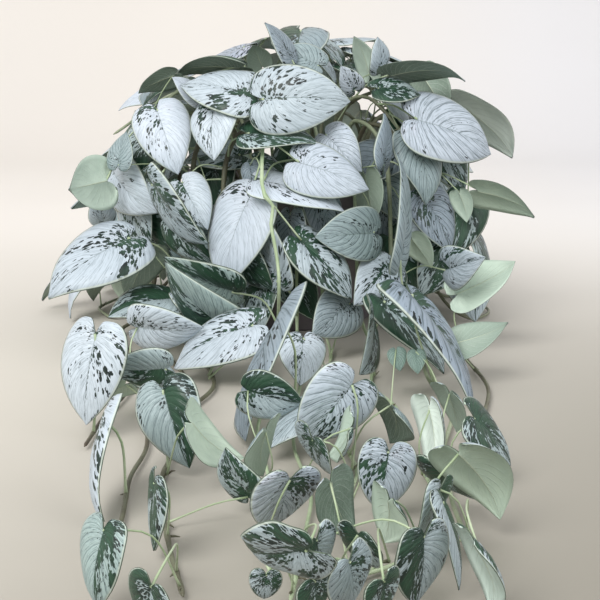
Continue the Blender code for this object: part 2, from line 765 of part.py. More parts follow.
def ground_leaf(point, ahead, side, draw):
    """A leaf that a lying stem holds up beside it, tip down to the surface."""
    aside = Vector((-ahead.y, ahead.x, 0)).normalized() * side
    onward = Vector((ahead.x, ahead.y, 0))
    way = (aside * draw.uniform(0.7, 1.1) + onward * draw.uniform(0.3, 0.9)).normalized()
    size = draw.uniform(*GROUND_SIZES) * MM
    base = point + way * draw.uniform(14, 26) * MM + Vector((0, 0, draw.uniform(34, 50) * MM))
    drop = min(base.z - draw.uniform(7, 14) * MM, size * 0.85)
    tip = base + way * math.sqrt(size ** 2 - drop ** 2) - Vector((0, 0, drop))
    facing = Vector((0, 0, 1)) + way * 0.9 + aside * draw.uniform(-0.2, 0.2)
    return Leaf(base, tip, facing, size * draw.uniform(*WIDTH_SHARES), *leaf_shape(draw))


def ground_leaves(draw, nodes, others):
    grown = []
    for vine in GROUND_VINES:
        lying = [node for node in nodes if node.vine == vine and node.point.z < 12 * MM]
        for count, node in enumerate(lying[::GROUND_STEP]):
            side = 1 if count % 2 else -1
            tries = [ground_leaf(node.point, node.ahead, side, draw) for _ in range(RULE_TRIES)]
            grown.append(try_leaves(("ground", vine, count), tries, nodes, others))
    return grown


# Leaves that fill the mound behind the outermost ones

FILL_MIDDLE = (292, 188)
FILL_HALF = (206, 128)
FILL_STEP = 19
FILL_LAYERS = (1, 1.6, 2.2, 2.8, 3.4, 4.2, 5)
FILL_TRIES = 4
FILL_DEPTH = 100 * MM
FILL_LEAN = 80
FILL_SIZES = (56, 78)


def in_sight(point, others):
    """Whether the eye sees a point past the blades that are placed."""
    ray = point - EYE
    for other in others:
        if other.kind == "blade" and other.tree.ray_cast(EYE, ray, ray.length - MM)[0]:
            return False
    return True


def fill_leaf(place, layer, draw):
    """A leaf whose middle covers a place of the front view, some layers in."""
    lean = math.radians(draw.uniform(-FILL_LEAN, FILL_LEAN))
    length = draw.uniform(*FILL_SIZES)
    base = (place[0] - 0.42 * length * math.sin(lean), place[1] - 0.42 * length * math.cos(lean))
    tip = (place[0] + 0.58 * length * math.sin(lean), place[1] + 0.58 * length * math.cos(lean))
    width = length * BLADE_ASPECT * draw.uniform(0.7, 1.0)
    return leaf_from_view(mound(base, tip, width, layer), 0, leaf_shape(draw))


def fill_places(draw):
    """Places of a shaken grid that covers the mound in the front view."""
    rows = math.ceil(FILL_HALF[1] / FILL_STEP)
    columns = math.ceil(FILL_HALF[0] / FILL_STEP)
    places = []
    for row in range(-rows, rows + 1):
        for column in range(-columns, columns + 1):
            x = FILL_STEP * (column + draw.uniform(-0.3, 0.3))
            y = FILL_STEP * (row + draw.uniform(-0.3, 0.3))
            if math.hypot(x / FILL_HALF[0], y / FILL_HALF[1]) <= 1:
                places.append((FILL_MIDDLE[0] + x, FILL_MIDDLE[1] + y))
    return places


def fill_leaves(draw, nodes, others):
    grown = []
    for place in fill_places(draw):
        if in_sight(EYE + sight(place) * (depth_on_foliage(place) + FILL_DEPTH), others):
            tries = [fill_leaf(place, layer, draw) for layer in FILL_LAYERS for _ in range(FILL_TRIES)]
            grown.append(try_leaves(("fill", place), under_skyline(tries), nodes, others))
    return grown


# Leaves low on the front vines, behind the ones that show

HIDDEN_STEP = 6
HIDDEN_TRIES = 60
FRONT_VINES = ("vine_front_far_left", "vine_front_left", "vine_front_left_inner", "vine_front_middle_left",
               "vine_front_middle", "vine_front_middle_right", "vine_front_right_inner",
               "vine_front_right", "vine_front_far_right")


def out_of_sight(leaf, others):
    return not any(in_sight(point, others) for point in blade_points(leaf))


def hidden_leaves(draw, nodes, others):
    grown = []
    for vine in FRONT_VINES:
        lying = [node for node in nodes if node.vine == vine and node.point.z < 30 * MM]
        for count, node in enumerate(lying[::HIDDEN_STEP]):
            tries = []
            for attempt in range(HIDDEN_TRIES):
                leaf = ground_leaf(node.point, node.ahead, 1 if (count + attempt) % 2 else -1, draw)
                if out_of_sight(leaf, others):
                    tries.append(leaf)
            if tries:
                grown.append(try_leaves(("hidden", vine, count), tries, nodes, others))
    return grown


# The whole plant's plan

def stem_nodes(stems):
    """Points of the stems that a stalk can leave from, above the soil."""
    nodes = []
    for vine, route in stems.items():
        for here, after in zip(route[1:], route[2:]):
            count = max(1, round((after - here).length / NODE_STEP))
            ahead = (after - here).normalized()
            spots = [here.lerp(after, (step + 0.5) / count) for step in range(count)]
            nodes += [Node(vine, spot, ahead) for spot in spots]
    return [node for node in nodes if node.point.z < 60 * MM or node.point.z > SOIL_TOP + 14 * MM]


def plan_plant():
    """Every stem route and every leaf, the leaves in the order in which they find room."""
    draw = random.Random(SEED)
    stems = {vine.name: stem_route(vine) for vine in VINES}
    others = [pot_shell()]
    for vine, route in stems.items():
        others.append(placed(vine, "stem", *tube_shell(route[1:], STEM_RADIUS + ROOM)))
    nodes = stem_nodes(stems)
    grown = top_leaves(draw, nodes, others)
    for group, slides in ((LOW_LEAVES, LIFTS), (MOUND_LEAVES, SLIDES)):
        for place in sorted(group, key=lambda one: one.layer):
            sheet = SEEN_SHEET if place.width > SMALL_WIDTH else PLAIN_SHEET
            shapes = [leaf_shape(draw, sheet) for _ in range(SHAPES_TRIED)]
            tries = [leaf_from_view(place, slide * SLIDE, shape) for slide in slides for shape in shapes]
            grown.append(try_leaves(place, tries, nodes, others))
    grown += fill_leaves(draw, nodes, others)
    grown += side_leaves(draw, nodes, others)
    grown += ground_leaves(draw, nodes, others)
    grown += hidden_leaves(draw, nodes, others)
    return stems, grown


# Solids

def finish(name, shade, roughness):
    material = bpy.data.materials.new(name)
    material.use_nodes = True
    surface = material.node_tree.nodes["Principled BSDF"]
    surface.inputs["Base Color"].default_value = (*shade, 1)
    surface.inputs["Roughness"].default_value = roughness
    return material


def add_object(name, mesh, material, collection):
    thing = bpy.data.objects.new(name, mesh)
    mesh.materials.clear()
    mesh.materials.append(material)
    collection.objects.link(thing)
    return thing


def turned(name, profile, sides, material, collection):
    """A round solid from its half profile, given from the axis round to the axis."""
    outline = bmesh.new()
    verts = [outline.verts.new((radius, 0, height)) for radius, height in profile]
    for one, other in zip(verts, verts[1:]):
        outline.edges.new((one, other))
    mesh = bpy.data.meshes.new(name)
    outline.to_mesh(mesh)
    outline.free()
    thing = add_object(name, mesh, material, collection)
    screw = thing.modifiers.new("turn", "SCREW")
    screw.steps = screw.render_steps = sides
    screw.use_merge_vertices = True
    screw.merge_threshold = 0.00005
    return thing


def post(name, radius, low, high, sides, centre, collection):
    """A plain upright cutter."""
    drum = bmesh.new()
    middle = Matrix.Translation((centre.x, centre.y, (low + high) / 2))
    bmesh.ops.create_cone(drum, cap_ends=True, segments=sides, radius1=radius, radius2=radius,
                          depth=high - low, matrix=middle)
    mesh = bpy.data.meshes.new(name)
    drum.to_mesh(mesh)
    drum.free()
    cutter = bpy.data.objects.new(name, mesh)
    cutter.hide_render = True
    cutter.display_type = "WIRE"
    collection.objects.link(cutter)
    return cutter


def cut(thing, cutters):
    boolean = thing.modifiers.new("holes", "BOOLEAN")
    boolean.operation = "DIFFERENCE"
    boolean.operand_type = "COLLECTION"
    boolean.collection = cutters
    boolean.solver = "EXACT"


def new_collection(name, parent):
    collection = bpy.data.collections.new(name)
    parent.children.link(collection)
    return collection


def wall_radius(height):
    """The pot's outer radius at a height, under its rim."""
    return POT_FOOT_RADIUS + (POT_RIM_RADIUS - POT_FOOT_RADIUS) * height / POT_HEIGHT


def make_pot(collection, cutters):
    under_rim = POT_HEIGHT - RIM_HEIGHT
    side = wall_radius(under_rim)
    lip = POT_HEIGHT - 1.5 * MM
    bore = POT_RIM_RADIUS - POT_WALL
    outside = [(0, 0), (POT_FOOT_RADIUS - 3 * MM, 0), (POT_FOOT_RADIUS, 3 * MM), (side, under_rim),
               (side + RIM_OVERHANG, under_rim + 1 * MM), (POT_RIM_RADIUS + RIM_OVERHANG, lip),
               (POT_RIM_RADIUS + 1 * MM, POT_HEIGHT)]
    inside = [(bore + 1 * MM, POT_HEIGHT), (bore, lip), (wall_radius(POT_FLOOR) - POT_WALL, POT_FLOOR),
              (0, POT_FLOOR)]
    clay = finish("pot", (0.16, 0.14, 0.155), 0.7)
    pot = turned("pot", list(reversed(outside + inside)), POT_SIDES, clay, collection)
    for step in range(DRAIN_COUNT):
        centre = polar(DRAIN_CIRCLE, 45 + 360 * step / DRAIN_COUNT, 0)
        post(f"drain_{step + 1}", DRAIN_RADIUS, -2 * MM, POT_FLOOR + 2 * MM, 8, centre, cutters)
    cut(pot, cutters)
    return pot


def make_soil(collection, cutters):
    low, top = POT_FLOOR + GAP, SOIL_TOP
    side = POT_WALL + 2 * GAP
    slope = (POT_RIM_RADIUS - POT_FOOT_RADIUS) / POT_HEIGHT
    profile = [(0, low), (wall_radius(low) - side, low), (POT_FOOT_RADIUS + slope * top - side, top),
               (45 * MM, top + SOIL_CROWN), (0, top + SOIL_CROWN)]
    earth = finish("soil", (0.035, 0.025, 0.018), 0.95)
    soil = turned("soil", list(reversed(profile)), POT_SIDES, earth, collection)
    for vine in VINES:
        centre = polar(vine.root * MM, vine.azimuth, 0)
        post(f"hole_{vine.name}", HOLE_RADIUS, HOLE_FLOOR, SOIL_TOP + 12 * MM, HOLE_SIDES, centre, cutters)
    cut(soil, cutters)
    return soil


def stem_mesh(name, route):
    """A stem's closed tube, as a mesh."""
    curve = bpy.data.curves.new(name, "CURVE")
    curve.dimensions = "3D"
    curve.bevel_depth = STEM_RADIUS
    curve.bevel_resolution = 0
    curve.use_fill_caps = True
    spline = curve.splines.new("POLY")
    spline.points.add(len(route) - 1)
    for spot, point in zip(spline.points, route):
        spot.co = (*point, 1)
    tube = bpy.data.objects.new(name, curve)
    bpy.context.scene.collection.objects.link(tube)
    graph = bpy.context.evaluated_depsgraph_get()
    mesh = bpy.data.meshes.new_from_object(tube.evaluated_get(graph))
    bpy.data.objects.remove(tube)
    weld = bmesh.new()
    weld.from_mesh(mesh)
    bmesh.ops.remove_doubles(weld, verts=weld.verts, dist=0.00001)
    weld.to_mesh(mesh)
    weld.free()
    return mesh


def draw_out_stalk(solid, leaf, route):
    """Draw the notch's small face out into a stalk, ring by ring, down to the stem."""
    across, along, up = leaf_axes(leaf)
    quads = [face for face in solid.faces if len(face.verts) == 4]
    face = min(quads, key=lambda quad: (quad.calc_center_median() - leaf.base).length)
    corners = []
    for vert in face.verts:
        offset = vert.co - face.calc_center_median()
        corners.append((math.copysign(1, offset.dot(across)), math.copysign(1, offset.dot(up))))
    spots = list(reversed(route))
    heading = -along
    for index in range(1, len(spots)):
        last = min(index + 1, len(spots) - 1)
        ahead = (spots[last] - spots[index - 1]).normalized()
        turn = heading.rotation_difference(ahead)
        across, up, heading = turn @ across, turn @ up, ahead
        face = bmesh.ops.extrude_discrete_faces(solid, faces=[face])["faces"][0]
        for vert, (side, rise) in zip(face.verts, corners):
            vert.co = spots[index] + (across * side + up * rise) * STALK_HALF


def leaf_mesh(name, grown):
    """One closed solid: a blade of even thickness with its stalk."""
    leaf = grown.leaf
    lift = leaf_axes(leaf)[2] * BLADE / 2
    solid = bmesh.new()
    verts = [solid.verts.new(point + lift) for point in blade_points(leaf)]
    for face in leaf.sheet.faces:
        solid.faces.new([verts[index] for index in face])
    solid.normal_update()
    bmesh.ops.solidify(solid, geom=solid.faces, thickness=BLADE)
    draw_out_stalk(solid, leaf, grown.route)
    bmesh.ops.recalc_face_normals(solid, faces=solid.faces)
    if solid.calc_volume(signed=True) < 0:
        bmesh.ops.reverse_faces(solid, faces=solid.faces)
    mesh = bpy.data.meshes.new(name)
    solid.to_mesh(mesh)
    solid.free()
    return mesh


def make_vine(vine, route, leaves, material, collection):
    """One vine: its stem with every leaf joined to it as one body."""
    thing = add_object(vine, stem_mesh(vine, route), material, collection)
    loose = new_collection(vine + "_leaves", collection)
    for count, grown in enumerate(leaves):
        add_object(f"{vine}_leaf_{count}", leaf_mesh(f"{vine}_leaf_{count}", grown), material, loose)
    if leaves:
        boolean = thing.modifiers.new("join", "BOOLEAN")
        boolean.operation = "UNION"
        boolean.operand_type = "COLLECTION"
        boolean.collection = loose
        boolean.solver = "MANIFOLD"
        graph = bpy.context.evaluated_depsgraph_get()
        joined = bpy.data.meshes.new_from_object(thing.evaluated_get(graph))
        thing.modifiers.clear()
        thing.data = joined
    for piece in list(loose.objects):
        bpy.data.objects.remove(piece)
    bpy.data.collections.remove(loose)
    return thing


def main():
    for thing in list(bpy.data.objects):
        bpy.data.objects.remove(thing)
    plant = new_collection("satin_pothos", bpy.context.scene.collection)
    drains = new_collection("drain_cutters", bpy.context.scene.collection)
    holes = new_collection("stem_hole_cutters", bpy.context.scene.collection)
    make_pot(plant, drains)
    make_soil(plant, holes)
    stems, grown = plan_plant()
    green = finish("silver_leaf", (0.48, 0.55, 0.54), 0.5)
    for vine, route in stems.items():
        leaves = [leaf for leaf in grown if leaf and leaf.vine == vine]
        make_vine(vine, route, leaves, green, plant)


main()
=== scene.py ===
# %% [markdown]
# # A satin pothos in its pot
#
# The plant is a mound of heart-shaped leaves on thin stalks, with vines that trail over the pot's
# rim and lie along the surface. A modeller could place two hundred leaves by hand or scatter them
# with particles. Here they are planned in code, by the plan that the plain solids were made from,
# so each fine leaf grows exactly where its plain solid stands. The first step loads those solids as
# a fixed frame.

# %% Load the frame
import json
import math
import random
from collections import namedtuple

import bmesh
import bpy
from mathutils import Matrix, Vector, noise
from mathutils.bvhtree import BVHTree
from mathutils.geometry import interpolate_bezier

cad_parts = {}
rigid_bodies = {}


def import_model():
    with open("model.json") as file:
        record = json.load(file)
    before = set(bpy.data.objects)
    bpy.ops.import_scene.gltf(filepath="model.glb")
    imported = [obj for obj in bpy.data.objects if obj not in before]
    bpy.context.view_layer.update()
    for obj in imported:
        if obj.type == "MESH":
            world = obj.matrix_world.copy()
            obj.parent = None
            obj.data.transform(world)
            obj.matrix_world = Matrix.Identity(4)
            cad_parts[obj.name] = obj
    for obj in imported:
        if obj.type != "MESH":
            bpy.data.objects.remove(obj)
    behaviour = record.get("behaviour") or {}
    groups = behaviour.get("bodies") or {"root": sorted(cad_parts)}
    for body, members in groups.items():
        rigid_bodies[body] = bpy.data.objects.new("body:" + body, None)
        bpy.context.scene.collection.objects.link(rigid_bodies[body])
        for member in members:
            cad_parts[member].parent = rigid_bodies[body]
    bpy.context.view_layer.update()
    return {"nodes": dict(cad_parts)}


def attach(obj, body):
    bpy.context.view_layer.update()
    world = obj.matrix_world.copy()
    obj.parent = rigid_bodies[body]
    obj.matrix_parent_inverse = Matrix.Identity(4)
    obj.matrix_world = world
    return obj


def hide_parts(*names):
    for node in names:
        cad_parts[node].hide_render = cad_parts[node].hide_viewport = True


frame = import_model()
MM = 0.001

# %% [markdown]
# ## Where the picture is taken from
#
# The picture looks slightly down from above the pot's rim. Without perspective, near leaves would
# look no larger than far ones, so a perspective camera gets the picture's own place, tilt and lens.
# The plan reads its leaves through the same place and tilt.

# %% The eye and the camera
EYE = Vector((8.4, -1174, 263.5)) * MM
EYE_TILT = math.radians(12)
VIEW_MIDDLE = 300
VIEW_SCALE = 1144
SENSOR = 36

camera = bpy.data.objects.new("camera", bpy.data.cameras.new("camera"))
bpy.context.scene.collection.objects.link(camera)
bpy.context.scene.camera = camera
camera.location = EYE
camera.rotation_euler = (math.pi / 2 - EYE_TILT, 0, 0)
camera.data.sensor_width = SENSOR
camera.data.lens = VIEW_SCALE / (2 * VIEW_MIDDLE) * SENSOR
print("lens in mm:", round(camera.data.lens, 2))

# %% [markdown]
# ## The pot in numbers
#
# The pot is an ordinary one with a thin wall and four drain holes, filled with soil to just below
# its rim. Its sizes are named values, because the plan needs them too, to keep the leaves clear of
# the pot.

# %% Pot and soil
GAP = 0.3 * MM
POT_HEIGHT = 150 * MM
POT_FOOT_RADIUS = 82 * MM
POT_RIM_RADIUS = 105 * MM
POT_WALL = 4 * MM
POT_FLOOR = 6 * MM
RIM_HEIGHT = 14 * MM
RIM_OVERHANG = 2.5 * MM
DRAIN_RADIUS = 5 * MM
DRAIN_CIRCLE = 45 * MM
DRAIN_COUNT = 4
SOIL_TOP = 135 * MM
SOIL_CROWN = 3 * MM
HOLE_FLOOR = 105 * MM
print("pot in mm:", round(POT_HEIGHT / MM), "high,", round(2 * POT_RIM_RADIUS / MM), "wide at the rim")

# %% [markdown]
# ## The plant in numbers
#
# A stem is about 5 mm thick, a stalk 2 mm, and a blade is thin but leathery. Seen from afar the
# foliage is a dome over the pot, with a low skirt where vines lie. It could be sculpted, but half
# an ellipsoid is enough: a leaf only needs to know how high the foliage stands over its place.

# %% Plant
STEM_RADIUS = 2.6 * MM
BEND_STEP = math.radians(25)
STRAIGHT_STEP = 72 * MM
NODE_STEP = 9 * MM
STALK_HALF = 1.0 * MM
STALK_REACH = STALK_HALF * math.sqrt(2)
BLADE = 0.8 * MM
BLADE_ASPECT = 0.84
NOTCH_HALF = 1.6 * MM
STALK_LONGEST = 125 * MM
STALK_SHORTEST = 16 * MM
STALK_USUAL = 50 * MM
STALK_SIMPLE = 84 * MM
ROOM = 0.5 * MM
FLOOR_ROOM = 1 * MM
LYING = STEM_RADIUS + FLOOR_ROOM
SEED = 11
MOUND_HALF_WIDTH = 262 * MM
MOUND_HALF_DEPTH = 200 * MM
MOUND_MIDDLE = 60 * MM
MOUND_RISE = 250 * MM
SKIRT = 45 * MM
HANG_CLEAR = 18 * MM
LAYER = 18 * MM
print("mound in mm:", round(2 * MOUND_HALF_WIDTH / MM), "wide")

# %% [markdown]
# ## Lines of sight
#
# A place in the picture gives a line from the eye. A leaf that shows sits where that line meets the
# mound, or a height above the surface. So the picture sets where a leaf shows, and the mound sets
# how deep it lies.

# %% Sight lines
DEPTH_START = 0.45
DEPTH_STEP = 3 * MM


def sight(place):
    """The direction from the eye through a place in the front view, one unit deep."""
    across = (place[0] - VIEW_MIDDLE) / VIEW_SCALE
    rise = (VIEW_MIDDLE - place[1]) / VIEW_SCALE
    tilt_cos, tilt_sin = math.cos(EYE_TILT), math.sin(EYE_TILT)
    return Vector((across, tilt_cos + rise * tilt_sin, rise * tilt_cos - tilt_sin))


def foliage_height(x, y):
    """How high the foliage stands over a point of the ground."""
    inside = 1 - (x / MOUND_HALF_WIDTH) ** 2 - (y / MOUND_HALF_DEPTH) ** 2
    if inside <= 0:
        return SKIRT
    return MOUND_MIDDLE + MOUND_RISE * math.sqrt(inside)


def depth_on_foliage(place):
    """How deep the sight line of a place meets the foliage, or the pot's middle plane."""
    ray = sight(place)
    depth = DEPTH_START
    while True:
        point = EYE + ray * depth
        if point.z <= foliage_height(point.x, point.y) or point.y >= 0:
            return depth
        depth += DEPTH_STEP


def depth_at_height(place, height):
    """How deep the sight line of a place comes down to a height."""
    return (height - EYE.z) / sight(place).z


def on_ground(place):
    """A point of a stem that lies on the surface, from its place in the front view."""
    return EYE + sight(place) * depth_at_height(place, LYING)


middle_depth = depth_on_foliage((VIEW_MIDDLE, VIEW_MIDDLE))
print("the middle of the view meets the foliage at a depth of", round(middle_depth, 3), "m")

# %% [markdown]
# ## The paths of the stems
#
# A stem rises from the soil, arches over and drops in one smooth curve. A curve object would do,
# but a list of points can be measured and tested.

# %% Smooth paths
def smooth_route(points, step):
    """Points along a smooth curve through the route's own points."""
    ends = [points[0] * 2 - points[1]] + list(points) + [points[-1] * 2 - points[-2]]
    route = []
    for before, here, after, beyond in zip(ends, ends[1:], ends[2:], ends[3:]):
        count = max(2, round((after - here).length / step))
        first = here + (after - before) / 6
        second = after - (beyond - here) / 6
        route += interpolate_bezier(here, first, second, after, count + 1)[:-1]
    return [Vector(point) for point in route] + [Vector(points[-1])]


def thinned(route):
    """The route with only the points that its bends need."""
    kept = [route[0]]
    heading = (route[1] - route[0]).normalized()
    for here, after in zip(route[1:], route[2:]):
        ahead = (after - here).normalized()
        if ahead.angle(heading) > BEND_STEP or (here - kept[-1]).length > STRAIGHT_STEP:
            kept.append(here)
            heading = ahead
    return kept + [route[-1]]


def polar(radius, azimuth, height):
    """A point at a distance from the pot's axis, in a direction given in degrees."""
    angle = math.radians(azimuth)
    return Vector((radius * math.cos(angle), radius * math.sin(angle), height))


arch = smooth_route([polar(22 * MM, 0, SOIL_TOP), polar(60 * MM, 0, 0.21), polar(0.15, 0, 0.16)], 8 * MM)
print("an arch over the rim has", len(arch), "points, and its bends need", len(thinned(arch)))

# %% [markdown]
# ## Three kinds of stem
#
# Old stems end inside the mound, long ones arch over the rim and trail, and one hangs in front of
# the leaves. Each could be drawn by hand, but a row of numbers is easier to change: how far out it
# is rooted, the top of its arch, its shoulder, its foot, and the points that it trails through.

# %% Kinds of stem
Vine = namedtuple("Vine", "name azimuth root apex shoulder foot trail")


def crown(name, azimuth, root, apex, shoulder, end):
    """A stem that arches over inside the mound and ends in it."""
    return Vine(name, azimuth, root, apex, shoulder, None, [polar(*end)])


def trailing(name, azimuth, root, apex, shoulder, foot, trail):
    """A stem that arches over the rim, drops, and lies along the surface."""
    return Vine(name, azimuth, root, apex, shoulder, foot, trail)


def hanging(name, azimuth, root, apex, places, trail):
    """A stem that hangs in front of the leaves, where the front view shows it, and then lies."""
    drop = [EYE + sight(place) * (depth_on_foliage(place) - HANG_CLEAR) for place in places]
    return Vine(name, azimuth, root, apex, None, None, drop + trail)


print("a stem's row holds:", Vine._fields)

# %% [markdown]
# ## From a row to a path
#
# Inside the pot a stem stands upright in its hole, and above it leans to the top of its arch. At
# its foot it turns from hanging to lying in three points, since a real stem doesn't kink.

# %% The path of one stem
PATH_STEP = 8 * MM
LEAN_SHARE = 0.4
FOOT_TURN = ((0, 56 * MM), (13, 20 * MM), (38, LYING))


def stem_path(vine):
    """The floor of a stem's hole, and the smooth path from the soil to the stem's end."""
    rooted = polar(vine.root * MM, vine.azimuth, HOLE_FLOOR + GAP)
    emerging = polar(vine.root * MM, vine.azimuth, SOIL_TOP + 2 * SOIL_CROWN)
    apex = polar(vine.apex[0] * MM, vine.azimuth, vine.apex[1] * MM)
    points = [emerging, emerging * (1 - LEAN_SHARE) + apex * LEAN_SHARE, apex]
    if vine.shoulder:
        points.append(polar(vine.shoulder[0] * MM, vine.azimuth, vine.shoulder[1] * MM))
    if vine.foot:
        for further, height in FOOT_TURN:
            points.append(polar((vine.foot + further) * MM, vine.azimuth, height))
    return rooted, smooth_route(points + vine.trail, PATH_STEP)


def stem_route(vine):
    """The stem's path with only the points that its bends need."""
    rooted, path = stem_path(vine)
    return [rooted] + thinned(path)


def ground(*places):
    """Points on the surface, given in millimetres from the pot's axis."""
    return [Vector((x, y, 0)) * MM + Vector((0, 0, LYING)) for x, y in places]


def seen(*places):
    """Points on the surface, given by where they show in the front view."""
    return [on_ground(place) for place in places]


print("three points on the surface:", seen((200, 400), (300, 400), (400, 400)))

# %% [markdown]
# ## Every vine
#
# Seven stems make the crown, nine trail to the front as the picture shows them, and seven lie to
# the sides and the back. Evenly spaced ones would look like spokes, so no two rows are alike.

# %% The vines
VINES = [
    crown("vine_crown_front", -84, 22, (48, 215), (95, 235), (135 * MM, -80, 215 * MM)),
    crown("vine_crown_right", -22, 34, (62, 218), (120, 232), (178 * MM, -26, 196 * MM)),
    crown("vine_crown_back_right", 42, 30, (50, 214), (100, 234), (158 * MM, 40, 204 * MM)),
    crown("vine_crown_back", 104, 32, (52, 210), (92, 232), (138 * MM, 100, 200 * MM)),
    crown("vine_crown_left", 168, 34, (60, 210), (118, 228), (180 * MM, 176, 188 * MM)),
    crown("vine_crown_front_left", -140, 32, (64, 228), (120, 240), (172 * MM, -146, 200 * MM)),
    crown("vine_crown_front_right", -52, 46, (76, 214), (118, 226), (160 * MM, -48, 190 * MM)),
    trailing("vine_front_far_left", -148, 62, (92, 196), (142, 170), 156,
             seen((140, 372), (124, 396), (106, 414), (86, 444))),
    trailing("vine_front_left", -130, 64, (94, 204), (138, 176), 152,
             seen((186, 382), (152, 414), (146, 449), (130, 478), (122, 518), (106, 566))),
    trailing("vine_front_left_inner", -116, 60, (92, 196), (136, 168), 150,
             seen((214, 384), (190, 410), (176, 446), (161, 484), (168, 540), (182, 592))),
    hanging("vine_front_middle_left", -104, 62, (94, 222),
            ((262, 184), (273, 206), (271, 224), (277, 258), (279, 290)),
            seen((276, 350), (266, 380), (262, 408), (257, 440), (268, 476), (260, 520), (268, 566))),
    trailing("vine_front_middle", -88, 60, (92, 198), (138, 178), 152,
             seen((300, 384), (294, 412), (294, 446), (302, 470), (311, 497), (306, 529), (300, 560),
                  (291, 598))),
    trailing("vine_front_middle_right", -79, 62, (94, 208), (138, 172), 150,
             seen((328, 384), (348, 410), (346, 444), (357, 473), (341, 512), (348, 542))),
    trailing("vine_front_right_inner", -66, 60, (92, 198), (136, 170), 152,
             seen((372, 384), (396, 408), (406, 444), (427, 478), (436, 505), (434, 531),
                  (420, 549), (396, 564), (369, 573), (330, 586))),
    trailing("vine_front_right", -52, 66, (98, 204), (142, 174), 154,
             seen((428, 378), (452, 408), (444, 450), (450, 492), (463, 530), (478, 556))),
    trailing("vine_front_far_right", -36, 62, (94, 200), (142, 168), 156,
             seen((466, 358), (488, 388), (482, 428), (497, 470))),
    trailing("vine_right", -12, 58, (92, 206), (136, 180), 146,
             ground((196, -30), (206, -4), (200, 34), (182, 64))),
    trailing("vine_right_back", 22, 60, (94, 200), (138, 176), 146,
             ground((184, 94), (188, 126), (172, 160), (148, 178))),
    trailing("vine_back_right", 56, 60, (92, 204), (136, 176), 146,
             ground((118, 184), (132, 208), (124, 238))),
    trailing("vine_back", 80, 58, (90, 198), (134, 172), 146,
             ground((30, 208), (24, 232), (38, 258))),
    trailing("vine_back_left", 120, 58, (90, 202), (136, 174), 146,
             ground((-94, 182), (-84, 212), (-100, 244))),
    trailing("vine_left_back", 150, 62, (94, 204), (136, 178), 146,
             ground((-172, 106), (-184, 134), (-172, 176), (-142, 200))),
    trailing("vine_left", -170, 58, (92, 208), (136, 182), 146,
             ground((-194, -18), (-204, 10), (-196, 44), (-184, 74))),
]
print("vines:", len(VINES), "and the first one's route has", len(stem_route(VINES[0])), "points")

# %% [markdown]
# ## The heart-shaped outline
#
# The leaf is a heart with two round lobes and a drawn-out tip. A formula for a heart would be hard
# to steer, so half the outline is two Bezier curves: round the lobe, and on to the tip.

# %% Half the outline
SHEET_WIDTH = 0.8
LOBE_BACK = ((0.13, -0.15), (0.29, -0.18), (0.40, -0.03), (0.40, 0.20))
LOBE_FRONT = ((0.40, 0.20), (0.40, 0.53), (0.19, 0.83), (0.0, 1.0))


def bezier_point(handles, part):
    """A place on a curve through four handles."""
    left = 1 - part
    weights = (left ** 3, 3 * left * left * part, 3 * left * part * part, part ** 3)
    return tuple(sum(w * p[axis] for w, p in zip(weights, handles)) for axis in (0, 1))


def edge_place(part):
    """The blade's half outline, from the back of its lobe at 0 to its tip at 1."""
    if part < 0.5:
        return bezier_point(LOBE_BACK, part * 2)
    return bezier_point(LOBE_FRONT, part * 2 - 1)


print("back of the lobe, widest place and tip:", [edge_place(part) for part in (0, 0.5, 1)])

# %% [markdown]
# ## A coarse sheet
#
# To find room for a leaf, a few flat facets are enough, and more would slow down every test. A grid
# operator makes them, and each point is moved to its place between midrib and outline.

# %% Coarse sheets
Sheet = namedtuple("Sheet", "places faces rim")
MIDRIB_POWER = 2.6
NOTCH_SHARE, NOTCH_WITHIN = 0.02, 0.03
SEEN_ROWS = (0.0, 0.26, 0.52, 0.77, 1.0)
PLAIN_ROWS = (0.0, 0.38, 0.70, 1.0)


def blade_sheet(rows):
    """A flat heart one unit long, its notch at the origin, with a short edge for the stalk."""
    sheet = bmesh.new()
    bmesh.ops.create_grid(sheet, x_segments=3, y_segments=len(rows) - 1, size=1)
    for vert in sheet.verts:
        row = round((vert.co.y + 1) / 2 * (len(rows) - 1))
        column = round((vert.co.x + 1) / 2 * 3)
        side = -1 if column < 2 else 1
        if column in (0, 3):
            half, along = edge_place(rows[row])
        else:
            half, along = (NOTCH_SHARE if row == 0 else 0), rows[row] ** MIDRIB_POWER
        vert.co = (side * half, along, 0)
    bmesh.ops.remove_doubles(sheet, verts=sheet.verts, dist=0.001)
    bmesh.ops.triangulate(sheet, faces=sheet.faces)
    sheet.verts.index_update()
    places = [vert.co.copy() for vert in sheet.verts]
    faces = [[vert.index for vert in face.verts] for face in sheet.faces]
    rim = [[vert.index for vert in edge.verts] for edge in sheet.edges if edge.is_boundary]
    sheet.free()
    return Sheet(places, faces, rim)


SEEN_SHEET = blade_sheet(SEEN_ROWS)
PLAIN_SHEET = blade_sheet(PLAIN_ROWS)
print("points of the two sheets:", len(SEEN_SHEET.places), len(PLAIN_SHEET.places))

# %% [markdown]
# ## A leaf in eight values
#
# A leaf is told by its notch and tip, the way it faces, its width, how it bows along its length,
# how its halves fold, how it twists, and its sheet. Modifiers could bend a flat leaf, but a short
# formula does it for any point.

# %% Bend a sheet onto a leaf
Leaf = namedtuple("Leaf", "base tip facing width bow fold twist sheet")


def leaf_axes(leaf):
    """A leaf's own directions: to its right, to its tip, and out of its upper face."""
    along = (leaf.tip - leaf.base).normalized()
    up = (leaf.facing - along * leaf.facing.dot(along)).normalized()
    return along.cross(up), along, up


